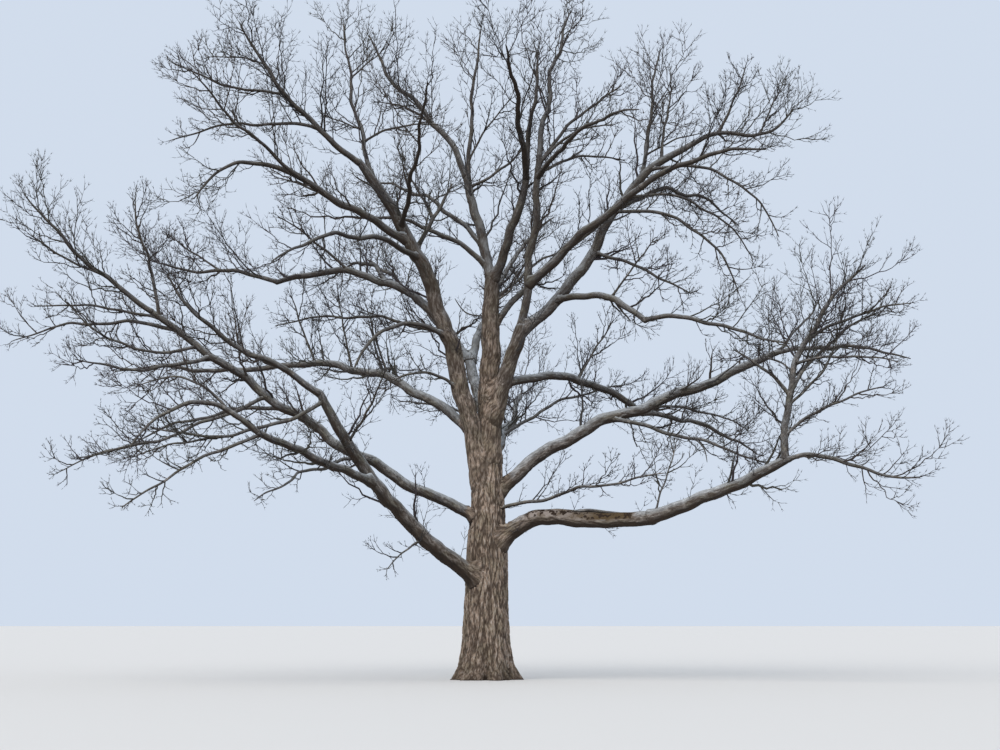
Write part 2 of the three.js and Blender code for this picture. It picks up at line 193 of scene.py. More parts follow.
MASSES = {
    "twigs_top_left": mass("left_leader", 1, Way(197, 3.6, 3.9, -0.35), 0.095, 1.7),
    "twigs_left_plume": mass("left_leader", 0.93, Way(120, 2.4, 5.6, -0.3), 0.075, 1.6, 0.7),
    "twigs_left_front": mass("left_leader", 0.8, Way(280, 5.6, 2.6, -0.25), 0.08, 1.9, 0.4),
    "twigs_left_droop": mass("left_leader", 0.7, Way(236, 6.4, -1.2, 0.7), 0.09, 1.7, 0.6),
    "twigs_high_end": mass("left_high", 1, Way(193, 2.7, -0.9, 0.65), 0.075, 1.5),
    "twigs_high_rise": mass("left_high", 0.85, Way(215, 3.8, 2.7, -0.2), 0.06, 1.5),
    "twigs_arch_end": mass("left_arch", 1, Way(166, 4.3, 0.9, 0, 0.1), 0.075, 1.8, 0.9),
    "twigs_arch_back": mass("left_arch", 0.35, Way(112, 5.0, 1.2, 0.5), 0.08, 1.9, 0.28),
    "twigs_pale_end": mass("left_pale", 1, Way(168, 5.4, 0, 0, -0.1), 0.09, 1.7, 0.7),
    "twigs_pale_back": mass("left_pale", 0.4, Way(98, 4.8, 0.6, 0.5), 0.08, 1.9, 0.38),
    "twigs_far_up": mass("left_far", 1, Way(199, 3.6, 3.1, -0.2), 0.08, 1.5, 0.8),
    "twigs_far_low": mass("left_far", 0.92, Way(166, 5.2, -0.1, 0.4), 0.06, 1.3, 0.6),
    "twigs_far_under": mass("left_far", 0.82, Way(222, 4.2, -0.5, -0.3), 0.065, 1.4, 0.6),
    "twigs_far_back": mass("left_far", 0.6, Way(163, 4.8, -0.9, 0.3), 0.065, 1.5, 0.4),
    "twigs_low_rise": mass("left_low", 1, Way(207, 4.3, 2.9, -0.35, 0.15), 0.1, 1.6),
    "twigs_under_out": mass("left_under", 1, Way(205, 3.3, -0.5, 0.95), 0.08, 1.5),
    "twigs_left_skirt": mass("left_far", 0.36, Way(245, 5.6, -1.6, 0.2), 0.06, 1.3, 0.5),
    "twigs_crown_left": mass("centre_left", 1, Way(150, 3.6, 5.1, 0, 0.2), 0.105, 1.8, 0.6),
    "twigs_crown_mid": mass("centre_left", 0.92, Way(40, 0.5, 5.1, 0.1), 0.075, 1.6, 0.38),
    "twigs_crown_back": mass("centre_left", 0.3, Way(130, 6.0, 3.2, 0.5), 0.085, 2.0, 0.5),
    "twigs_crown_front": mass("centre_right", 1, Way(262, 4.4, 2.6, 0.4), 0.1, 1.9, 0.4),
    "twigs_spire_top": mass("spire", 1, Way(68, 2.8, 5.4, 0.3), 0.09, 1.7, 0.5),
    "twigs_spire_front": mass("spire", 0.88, Way(295, 6.0, 0.4, 0.5), 0.075, 1.9, 0.35),
    "twigs_inner_end": mass("right_inner", 1, Way(330, 3.8, 0.6, 0.35), 0.095, 1.7, 0.5),
    "twigs_reach_end": mass("right_reach", 1, Way(4, 3.2, 1.3, -0.3, 0.25), 0.08, 1.5),
    "twigs_reach_rise": mass("right_reach", 0.75, Way(70, 2.6, 4.9, 0, -0.15), 0.07, 1.7, 0.55),
    "twigs_reach_back": mass("right_reach", 0.55, Way(49, 7.0, 1.0, 1.0), 0.085, 2.0, 0.48),
    "twigs_arm_end": mass("right_arm", 1, Way(331, 4.2, -1.0, 0.2, 0.1), 0.075, 1.6, 0.7),
    "twigs_shelf_end": mass("right_shelf", 1, Way(44, 5.8, -0.9, 0.3), 0.09, 1.7, 0.7),
    "twigs_long_end": mass("right_long", 1, Way(13, 4.5, 0, 0.3), 0.08, 1.5, 0.7),
    "twigs_long_rise": mass("right_long", 0.9, Way(40, 3.6, 2.6, -0.35), 0.065, 1.5, 0.65),
    "twigs_low_out": mass("right_low_end", 0.93, Way(332, 3.9, -0.5, 0.2, 0.2), 0.075, 1.3),
    "twigs_riser": mass("right_low_end", 1, Way(12, 2.5, 5.5, 0.75), 0.115, 1.5),
    "twigs_back_left": mass("back_left", 1, Way(118, 4.2, 2.2, 0.1), 0.095, 2.0, 0.75),
    "twigs_back_right": mass("back_right", 1, Way(66, 4.5, 3.0, 0.2), 0.09, 2.0, 0.48),
    "twigs_back_low": mass("back_low", 1, Way(85, 4.6, 1.6, 0.3), 0.1, 2.0, 0.5),
}

# The lesser limbs, which the solids leave out. The last ones are dead.
BRANCHES = {
    "centre_slant": Plan("centre_stem", 0.72, Way(22, 4.4, 4.1, 0.25), 0.105, 0.03, 1.3, 0.4),
    "centre_rise": Plan("centre_right", 1, Way(292, 0.9, 3.6, 0.0, 0.1), 0.085, 0.02, 1.2, 0.5),
    "centre_lean": Plan("centre_left", 0.9, Way(5, 1.9, 1.7, -0.25), 0.05, 0.015, 0.9),
    "centre_twist": Plan("twigs_crown_mid", 0.14, Way(350, 1.3, 1.9, 0.1), 0.038, 0.012, 0.8),
    "centre_drift": Plan("centre_left", 0.1, Way(170, 4.1, 1.7, 0.5), 0.085, 0.022, 1.1, 0.6),
    "crown_side": Plan("twigs_crown_left", 0.35, Way(182, 1.7, 0.7, 0.15), 0.04, 0.012, 0.8),
    "crown_side_up": Plan("twigs_crown_left", 0.3, Way(160, 1.5, 1.6, 0.0), 0.035, 0.012, 0.8),
    "leader_spur": Plan("left_leader", 0.72, Way(28, 1.2, 2.2), 0.08, 0.02, 1.0, 0.5),
    "leader_fork": Plan("leader_spur", 0.5, Way(172, 0.9, 1.6), 0.045, 0.013, 0.8),
    "leader_hook": Plan("left_leader", 0.46, Way(212, 3.1, -1.0, 0.85), 0.075, 0.03, 0.8),
    "leader_twist": Plan("left_leader", 0.3, Way(214, 2.4, 0.3, 0.5), 0.055, 0.018, 0.7),
    "top_low_side": Plan("twigs_top_left", 0.3, Way(176, 4.3, -0.3, 0.3), 0.055, 0.013, 0.9),
    "top_side": Plan("twigs_top_left", 0.55, Way(188, 3.2, 0.8, -0.2), 0.045, 0.012, 0.8),
    "top_end_side": Plan("twigs_top_left", 0.74, Way(176, 1.7, 0.25, 0.1), 0.03, 0.01, 0.7),
    "plume_right": Plan("twigs_left_plume", 0.28, Way(356, 2.3, 0.45, 0.25), 0.04, 0.012, 0.8),
    "plume_left": Plan("twigs_left_plume", 0.36, Way(184, 1.2, 0.45), 0.03, 0.01, 0.7),
    "plume_top": Plan("twigs_left_plume", 0.68, Way(18, 1.0, 1.0), 0.03, 0.01, 0.7),
    "high_mid": Plan("left_high", 0.5, Way(180, 2.2, 0.9, 0.1), 0.045, 0.012, 0.9),
    "arch_rise": Plan("twigs_arch_end", 0.45, Way(172, 1.7, 1.2), 0.035, 0.011, 0.8),
    "arch_mid": Plan("left_arch", 0.6, Way(196, 2.1, 1.5, 0.1), 0.045, 0.012, 0.9),
    "pale_rise_near": Plan("left_pale", 0.45, Way(190, 0.7, 2.2), 0.04, 0.011, 0.8),
    "pale_rise_mid": Plan("left_pale", 0.62, Way(150, 0.6, 2.4), 0.04, 0.011, 0.8),
    "pale_rise_far": Plan("left_pale", 0.8, Way(200, 0.8, 2.1), 0.04, 0.011, 0.8),
    "far_fork": Plan("left_far", 0.98, Way(150, 1.0, 3.5, 0, 0.1), 0.055, 0.014, 1.0),
    "far_left": Plan("twigs_far_up", 0.35, Way(190, 2.1, 1.1, -0.1), 0.04, 0.012, 0.8),
    "far_flat": Plan("left_far", 0.97, Way(186, 3.5, 0.3, 0.15), 0.045, 0.012, 0.8),
    "far_sag": Plan("left_far", 0.86, Way(200, 3.5, 0.9, -0.6), 0.05, 0.013, 0.9),
    "far_drop": Plan("left_far", 0.65, Way(198, 5.1, -1.9, -0.2), 0.06, 0.014, 0.9, 0.7),
    "low_rise_near": Plan("left_low", 0.8, Way(305, 1.9, 1.7, -0.1), 0.045, 0.012, 0.8),
    "low_droop": Plan("left_low", 0.33, Way(236, 1.7, -0.9, 0.1), 0.035, 0.01, 0.7),
    "low_sweep": Plan("left_low", 0.97, Way(200, 4.6, -0.9, -0.5), 0.06, 0.014, 1.0),
    "low_sweep_end": Plan("low_sweep", 0.6, Way(188, 2.4, -0.6, 0.1), 0.035, 0.011, 0.9),
    "far_trail": Plan("far_drop", 0.6, Way(186, 2.7, -0.9, 0.15), 0.035, 0.011, 0.9),
    "under_drop": Plan("left_under", 0.98, Way(192, 3.4, -1.9, 0.15), 0.05, 0.013, 0.9),
    "under_rise": Plan("twigs_under_out", 0.22, Way(183, 2.3, 0.6, 0.5), 0.04, 0.012, 0.8),
    "spire_right": Plan("spire", 0.96, Way(18, 2.6, 2.6, 0.2), 0.06, 0.014, 1.0),
    "spire_flat": Plan("spire", 0.95, Way(348, 2.2, 1.1, 0.35), 0.05, 0.013, 0.9),
    "spire_low": Plan("spire", 0.9, Way(28, 3.0, 0.8, 0.3), 0.05, 0.013, 0.9),
    "spire_tip": Plan("twigs_spire_top", 0.6, Way(20, 0.7, 1.4), 0.03, 0.01, 0.7),
    "reach_lower": Plan("right_reach", 0.8, Way(350, 3.8, -2.2, 0.9), 0.055, 0.013, 1.1),
    "reach_droop": Plan("right_reach", 0.58, Way(344, 3.7, -2.7, 0.9), 0.06, 0.013, 1.1),
    "reach_fall": Plan("right_reach", 0.42, Way(335, 3.0, -1.5, 0.1), 0.06, 0.014, 1.0),
    "reach_flat": Plan("right_reach", 0.66, Way(10, 3.9, -1.7, 0.8), 0.05, 0.012, 1.0),
    "reach_side": Plan("twigs_reach_rise", 0.2, Way(350, 1.7, 0.6, 0.1), 0.035, 0.011, 0.8),
    "reach_up_near": Plan("right_reach", 0.86, Way(60, 0.9, 2.6, 0.1), 0.05, 0.013, 1.0),
    "reach_up_mid": Plan("twigs_reach_end", 0.25, Way(350, 0.9, 2.1, -0.1), 0.045, 0.012, 0.9),
    "reach_up_far": Plan("twigs_reach_end", 0.6, Way(20, 0.8, 1.6), 0.035, 0.011, 0.8),
    "arm_rise": Plan("right_arm", 0.6, Way(330, 1.4, 1.6), 0.035, 0.011, 0.8),
    "shelf_rise": Plan("right_shelf", 0.5, Way(20, 1.2, 1.9), 0.04, 0.012, 0.8),
    "long_under": Plan("right_long", 0.44, Way(340, 4.7, -1.5, 0.1), 0.07, 0.015, 1.0),
    "long_skirt": Plan("right_long", 0.55, Way(18, 3.2, -0.4, 0.25), 0.05, 0.013, 0.9),
    "long_link": Plan("right_long", 0.97, Way(320, 1.3, -0.9, 0.1), 0.035, 0.011, 0.7),
    "low_thin": Plan("trunk", 0.77, Way(330, 5.6, 0.9, 0.06), 0.06, 0.015, 0.9),
    "low_upright": Plan("right_low_end", 0.05, Way(20, 0.7, 2.0), 0.035, 0.011, 0.7),
    "riser_low": Plan("twigs_riser", 0.1, Way(352, 2.7, 1.3, 0.2), 0.05, 0.013, 0.9),
    "riser_left": Plan("twigs_riser", 0.28, Way(172, 1.5, 1.3, 0.1), 0.06, 0.014, 0.9),
    "riser_right": Plan("twigs_riser", 0.3, Way(10, 2.7, 2.3, 0.3), 0.06, 0.014, 1.1),
    "riser_out": Plan("twigs_riser", 0.55, Way(5, 3.0, 1.1, 0.2), 0.05, 0.012, 0.9),
    "riser_flat": Plan("twigs_riser", 0.42, Way(338, 2.8, -0.1, 0.2), 0.045, 0.012, 0.9),
    "riser_near": Plan("twigs_riser", 0.24, Way(350, 1.4, 1.9, -0.2), 0.045, 0.012, 0.8),
    "back_side_left": Plan("back_left", 0.3, Way(160, 6.2, 0.8, 0.5), 0.06, 0.014, 1.2, 0.8),
    "back_side_right": Plan("back_low", 0.5, Way(34, 4.8, 2.0, 0.3), 0.06, 0.014, 1.2, 0.8),
    "back_low_left": Plan("back_low", 0.55, Way(137, 4.5, 1.4, 0.3), 0.055, 0.014, 1.1, 0.7),
    "back_top_right": Plan("back_right", 0.6, Way(30, 3.6, 2.6, 0.2), 0.05, 0.013, 1.1, 0.7),
    "dead_rail": Plan("right_low", 0.12, Way(344, 3.6, 0.68, 0.36), 0.085, 0.03),
    "dead_crook": Plan("centre_stem", 0.86, Way(340, 0.8, 0.9, -0.2), 0.035, 0.012),
    "dead_hook": Plan("centre_stem", 0.8, Way(200, 1.1, 0.4, -0.25), 0.03, 0.012),
    "dead_stub": Plan("left_leader", 0.4, Way(350, 0.55, 0.1), 0.035, 0.022),
    "dead_hanger": Plan("long_under", 0.55, Way(330, 0.4, -0.7, 0.1), 0.025, 0.01),
}

REGIONS = {
    Region.LEFT_LOW: ("left_far", "left_low", "left_under"),
    Region.LEFT_TOP: ("left_leader", "left_high", "left_arch", "left_pale"),
    Region.MIDDLE: ("trunk", "centre_stem", "centre_left", "centre_right", "back_stem", "back_left",
                    "back_right", "back_low"),
    Region.RIGHT_TOP: ("right_leader", "spire", "right_reach", "right_inner", "right_arm", "right_shelf"),
    Region.RIGHT_LOW: ("right_long", "right_low", "right_low_end"),
}

TRUNK_SEED = 1
BOUGH_SEED = 1
STEM_SEED = 101
MASS_SEED = 201
BRANCH_SEED = 301
BOUGH_SPRAY_SEED = 401
BOUGH_SPREAD = 1.5  # sets how long the boughs' own shoots are
BOUGH_FIRST = 0.34  # the share of a bough's length at which its own side shoots begin


class Draws:
    """Seeded draws from 0 to 1, the same each time for the same seed, one stream for each seed."""

    SPREAD = np.uint64(2654435761)
    FACTOR = np.uint64(1664525)
    STEP = np.uint64(1013904223)
    RANGE = np.uint64(2**32)

    def __init__(self, seeds: Array) -> None:
        """Starts a stream for each seed."""
        self.state = (np.asarray(seeds, np.uint64) * self.SPREAD) % self.RANGE

    def next(self) -> Array:
        """The next number of every stream."""
        self.state = (self.state * self.FACTOR + self.STEP) % self.RANGE
        return self.state / float(self.RANGE)

    def swing(self) -> Array:
        """The next number of every stream, stretched to run from -1 to 1."""
        return 2 * self.next() - 1


@dataclass(frozen=True)
class Grain:
    """Smooth noise in space, from about -1 to 1."""

    seed: int
    MIX = np.array([73856093, 19349663, 83492791])
    SHUFFLE = 1274126177
    WORD = 0xFFFFFFFF
    SHIFTS = (15, 13)
    BYTE = 255
    BYTE_STARTS = np.array([0, 8, 16])

    def at(self, places: Array) -> Array:
        """Works out the noise at places.

        Args:
            places: Rows of x, y and z, in lengths of one lump of the noise.

        Returns:
            One number a place.
        """
        cell = np.floor(places).astype(np.int64)
        part = places - cell
        ease = part * part * (3 - 2 * part)
        total = np.zeros(len(places))
        for corner in np.ndindex(2, 2, 2):
            weight = np.prod(np.where(np.array(corner) == 1, ease, 1 - ease), axis=1)
            total += weight * self._slope(cell + corner, part - corner)
        return total

    def _slope(self, cell: Array, offset: Array) -> Array:
        """The height over an offset of the slope that belongs to a lattice cell.

        Args:
            cell: Whole numbers of the lattice.
            offset: The way from that corner to the place.

        Returns:
            One height a place.
        """
        mixed = (cell @ self.MIX + self.seed * self.SHUFFLE) & self.WORD
        mixed = ((mixed ^ (mixed >> self.SHIFTS[0])) * self.SHUFFLE) & self.WORD
        mixed = mixed ^ (mixed >> self.SHIFTS[1])
        slope = ((mixed[:, None] >> self.BYTE_STARTS) & self.BYTE) / (self.BYTE / 2) - 1
        return (slope * offset).sum(axis=1)


@dataclass
class Trunk:
    """The trunk's line from the ground to its fork, and its radius with the flare of the roots."""

    height: float = 6.2
    lean: float = 0.06
    top_radius: float = 0.4
    swell: float = 0.26
    swell_fall: float = 2.2
    flare: float = 0.28
    flare_height: float = 0.45
    root_count: int = 6
    root_depth: float = 0.15
    spur_count: int = 11
    spur_depth: float = 0.55
    spur_turn: float = 1.0  # where round it the spurs start
    crease: float = 0.3  # how much deeper the creases between the roots are than the roots stand out
    toe_depth: float = 0.12
    toe_count: int = 9
    toe_height: float = 0.22
    toe_inset: float = 0.6  # how far the whole foot is drawn in, in toe depths
    toe_waver: float = 2.0
    flute_depth: float = 0.028
    waver_count: int = 2  # how often round it the toes and the flutes crowd together

    @property
    def length(self) -> float:
        """The length of its line, which is nearly upright."""
        return self.height

    def points(self, shares: Array) -> Array:
        """Places on its line, at shares of its height."""
        return np.stack([self.lean * shares**2, 0 * shares, self.height * shares], axis=1)

    def radii(self, shares: Array) -> Array:
        """Its radius without the roots' ridges, at shares of its height."""
        flare = self.flare * np.exp(-self.height * shares / self.flare_height)
        return self.top_radius + self.swell * (1 - shares**self.swell_fall) + flare

    def ridges(self, shares: Array, angles: Array) -> Array:
        """How much the roots' ridges widen it.

        Args:
            shares: Shares of its height, down the rows.
            angles: Angles round it, along the columns.

        Returns:
            A factor for the radius.
        """
        depth = self.root_depth * np.exp(-self.height * shares / self.flare_height)
        small_spurs = self.spur_depth * np.cos(self.spur_count * angles + self.spur_turn)
        spurs = np.cos(self.root_count * angles) + small_spurs
        spurs = spurs - self.crease * spurs**2
        waver = np.sin(self.waver_count * angles)
        flutes = self.flute_depth * np.cos(self.root_count * angles + waver)
        toes = self.toe_depth * (np.cos(self.toe_count * angles + self.toe_waver * waver) - self.toe_inset)
        toe_fall = np.exp(-self.height * shares / self.toe_height)[:, None]
        roots = 1 + depth[:, None] * spurs[None, :]
        return roots + flutes[None, :] * (1 - shares[:, None]) + toe_fall * toes


@dataclass
class Limb:
    """A tapering limb from its parent's line to its own tip, with a crook of its own."""

    name: str
    plan: Plan
    start: Array
    parent_radius: float
    seed: int
    crook: float = 0.011  # share of its length by which it wanders
    crook_length: float = 2.3
    crook_radius: float = 0.12  # a limb that is thicker than this at its foot wanders less, in proportion
    kink: float = 0.012  # how far it is bent from one short stretch to the next
    kink_share: float = 0.02  # the share of its radius that adds to that
    kink_length: float = 0.85
    kink_lag: float = 1.37  # how much shorter the bends to the side are
    collar: float = 0.45  # how much thicker it is where it leaves its parent
    seat: float = 0.4  # share of its parent's radius by which it begins inside the end that it goes on from
    taper_power: float = 0.6

    def __post_init__(self) -> None:
        """Works out its straight run and the two ways in which it can leave that."""
        way = self.plan.way
        bearing = math.radians(way.bearing)
        outward = np.array([math.cos(bearing), math.sin(bearing), 0.0])
        self.run = outward * way.reach + UP * way.rise
        self.length = float(np.linalg.norm(self.run))
        self.lift = (UP * way.reach - outward * way.rise) / self.length
        self.aside = np.array([-outward[1], outward[0], 0.0])
        self.crook *= min(1.0, self.crook_radius / self.plan.thick)
        draws = Draws(np.array([self.seed]))
        self.phases = [TURN * float(draws.next()[0]) for _ in range(4)]

    def points(self, shares: Array) -> Array:
        """Places on its line.

        Args:
            shares: Shares of its length.

        Returns:
            One place a share.
        """
        way = self.plan.way
        wander = self.crook * self.length * np.sin(np.pi * shares)
        turns = TURN * self.length * shares / self.crook_length
        kinks = TURN * self.length * shares / self.kink_length
        kink = (self.kink + self.kink_share * self.taper(shares)) * np.sin(np.pi * shares)
        bow = 4 * way.arch * shares * (1 - shares) + way.sway * np.sin(TURN * shares)
        up = bow + wander * np.sin(turns + self.phases[0]) + kink * np.sin(kinks + self.phases[2])
        across = wander * np.sin(turns + self.phases[1])
        across += kink * np.sin(kinks * self.kink_lag + self.phases[3])
        straight = self.start + np.outer(shares, self.run)
        return straight + np.outer(up, self.lift) + np.outer(across, self.aside)

    def taper(self, shares: Array) -> Array:
        """Its radius without the collar, at shares of its length."""
        return self.plan.thin + (self.plan.thick - self.plan.thin) * (1 - shares) ** self.taper_power

    def radii(self, shares: Array) -> Array:
        """Its radius along its length.

        Args:
            shares: Shares of its length.

        Returns:
            One radius a share.
        """
        if self.plan.at == 1:
            return self.taper(shares)
        fall = np.exp(-self.length * shares / (self.parent_radius + self.plan.thick))
        return self.taper(shares) * (1 + self.collar * fall)


@dataclass(frozen=True)
class Join:
    """Rounds off the angle between a limb's bark and the bark of the limbs that it grows from or beside."""

    neighbours: "Lines"
    size: float
    sink: float = 0.6  # share of its depth inside the neighbours by which a corner lies under the join
    halvings: int = 14

    def _short(self, corners: Array, spokes: Array, out: Array) -> Array:
        """How far corners moved out along their spokes still are inside the join.

        It is a smooth minimum of the gap to the neighbours and of the way out from the limb itself.

        Args:
            corners: The limb's own corners.
            spokes: The directions in which they move.
            out: How far each has moved.

        Returns:
            A number a corner, below zero inside the join.
        """
        gap = self.neighbours.gaps(corners + spokes * out[:, None], True).min(axis=1)
        near = np.maximum(1 - np.abs(gap - out) / self.size, 0)
        return np.minimum(gap, out) - self.size / 4 * near * near

    def widening(self, corners: Array, spokes: Array) -> tuple[Array, Array]:
        """How far each corner of the limb moves out to lie on the rounded join.

        Args:
            corners: The limb's own corners.
            spokes: The directions in which they move.

        Returns:
            A distance a corner, and how near the neighbours it is, from 0 to 1.
        """
        found = np.zeros(len(corners))
        gap = self.neighbours.gaps(corners, True).min(axis=1)
        near = np.flatnonzero(np.abs(gap) < self.size)
        low = np.zeros(len(near))
        high = np.full(len(near), self.size)
        own, ways = corners[near], spokes[near]
        closed = self._short(own, ways, high) >= 0
        for _ in range(self.halvings):
            middle = (low + high) / 2
            inside = self._short(own, ways, middle) < 0
            low = np.where(inside, middle, low)
            high = np.where(inside, high, middle)
        found[near] = np.where(closed, low, 0) + self.sink * np.minimum(gap[near], 0)
        return found, np.clip(1 - gap / self.size, 0, 1)


@dataclass(frozen=True)
class Wound:
    """A stretch of a limb's upper side that has lost its bark and decayed."""

    first: float = 0.28
    last: float = 0.93
    half_angle: float = 1.1
    facing: float = 0.6  # how far its middle is turned from straight up towards the front
    sunk: float = 0.022
    hollow: float = 0.055
    rag: float = 0.35  # how ragged its rim is
    blunt: float = 4.0  # how blunt its two ends are
    rim: float = 5.0  # how sharp its rim is
    hole_level: float = 0.28  # the noise from which the wood has rotted out
    hole_rim: float = 6.0
    hole_rot: float = 0.7
    rot_rise: float = 2.2  # how fast the rot grows towards the last share
    rot_start: float = 0.5
    rot_rag: float = 0.4
    rim_noise: Grain = Grain(71)
    rim_scale: tuple[int, int, int] = (9, 9, 5)
    hole_noise: Grain = Grain(72)
    hole_scale: tuple[int, int, int] = (7, 7, 4)

    def depth(self, shares: Array, angles: Array, places: Array) -> tuple[Array, Array, Array]:
        """How bare each place is, how deep the wood lies under the bark, and how rotten it is.

        Args:
            shares: Shares of the limb's length, a number a place.
            angles: Angles from straight up, a number a place.
            places: The places round and along the limb, in metres.

        Returns:
            Bareness from 0 to 1, the depth in metres, and rottenness from 0 to 1.
        """
        noise = self.rim_noise.at(places * np.array(self.rim_scale))
        holes = self.hole_noise.at(places * np.array(self.hole_scale))
        length = self.last - self.first
        along = np.minimum(shares - self.first, self.last - shares) / length * self.blunt
        around = 1 - np.abs(angles - self.facing) / self.half_angle
        inside = np.clip((np.minimum(along, around) + self.rag * noise) * self.rim, 0, 1)
        rotted = inside * np.clip((holes - self.hole_level) * self.hole_rim, 0, 1)
        risen = (shares - self.first) / length * self.rot_rise - self.rot_start
        decay = np.clip(risen + self.rot_rag * noise, 0, 1)
        return inside, self.sunk * inside + self.hollow * rotted, np.maximum(decay, self.hole_rot * rotted)


@dataclass
class Skin:
    """A surface in arrays, with what its material reads at each corner."""

    vertices: Array
    faces: Array
    furrow: Array
    bare: Array
    decay: Array
    age: Array
    grain: Array

    @staticmethod
    def joined(skins: list["Skin"]) -> "Skin":
        """Several surfaces as one.

        Args:
            skins: The surfaces.

        Returns:
            The one surface.
        """
        starts = np.cumsum([0] + [len(skin.vertices) for skin in skins[:-1]])
        faces = [skin.faces + start for skin, start in zip(skins, starts)]
        rest = {
            item.name: np.concatenate([getattr(skin, item.name) for skin in skins])
            for item in fields(Skin)
            if item.name != "faces"
        }
        return Skin(faces=np.concatenate(faces), **rest)


@dataclass(frozen=True)
class Relief:
    """The bark's relief: long furrows between plates, finer cracks, and broad lumps."""

    full_radius: float = 0.6  # the radius of a limb that has plates and furrows of the full size
    most: float = 1.2  # the largest share of the full size
    plate: float = 0.085
    least_plate: float = 0.12  # the smallest share for the plates
    plate_power: float = 0.5
    stretch: float = 0.2  # width of a plate over its length
    bend: float = 0.9  # how far the furrows wander, in plates
    bend_scale: float = 0.45
    depth: float = 0.03
    least_depth: float = 0.04  # the smallest share for the depth
    depth_power: float = 0.85
    furrow_share: float = 0.2
    furrow_power: float = 0.7
    crack_share: float = 0.22
    crack_scale: float = 2.4
    crack_stretch: float = 1.8
    crack_depth: float = 0.35
    crack_mark: float = 0.45
    lump: float = 0.7
    lump_height: float = 0.055
    small_lump: float = 2.3  # how many small lumps there are to a large one
    small_height: float = 0.5

    def on(self, around: Array, radius: Array, seed: int) -> tuple[Array, Array, Array]:
        """The relief at places round and along a limb.

        Args:
            around: Rows of two places across the limb and one along it, in metres.
            radius: The limb's radius at each place.
            seed: The limb's own seed.

        Returns:
            Heights in metres, how deep in a furrow each place is from 0 to 1, and the places in plates.
        """
        first_bend, second_bend, furrows, cracks, lumps, small_lumps = (Grain(seed + k) for k in range(6))
        mean = float(np.mean(radius))
        share = np.clip(mean / self.full_radius, self.least_plate, self.most)
        grain = around * np.array([1, 1, self.stretch]) / (self.plate * share**self.plate_power)
        bends = [noise.at(grain * self.bend_scale) for noise in (first_bend, second_bend)]
        warped = grain + self.bend * np.stack([*bends, 0 * radius], axis=1)
        furrow = np.clip(1 - np.abs(furrows.at(warped)) / self.furrow_share, 0, 1)
        crack_places = warped * np.array([1, 1, self.crack_stretch]) * self.crack_scale
        crack = np.clip(1 - np.abs(cracks.at(crack_places)) / self.crack_share, 0, 1)
        lumpy = around / self.lump
        lump = lumps.at(lumpy) + self.small_height * small_lumps.at(lumpy * self.small_lump)
        full = np.clip(radius / self.full_radius, self.least_depth, self.most)
        depth = self.depth * full**self.depth_power
        carved = furrow**self.furrow_power + self.crack_depth * crack
        height = lump * self.lump_height * radius - depth * carved
        return height, np.clip(furrow + self.crack_mark * crack, 0, 1), grain


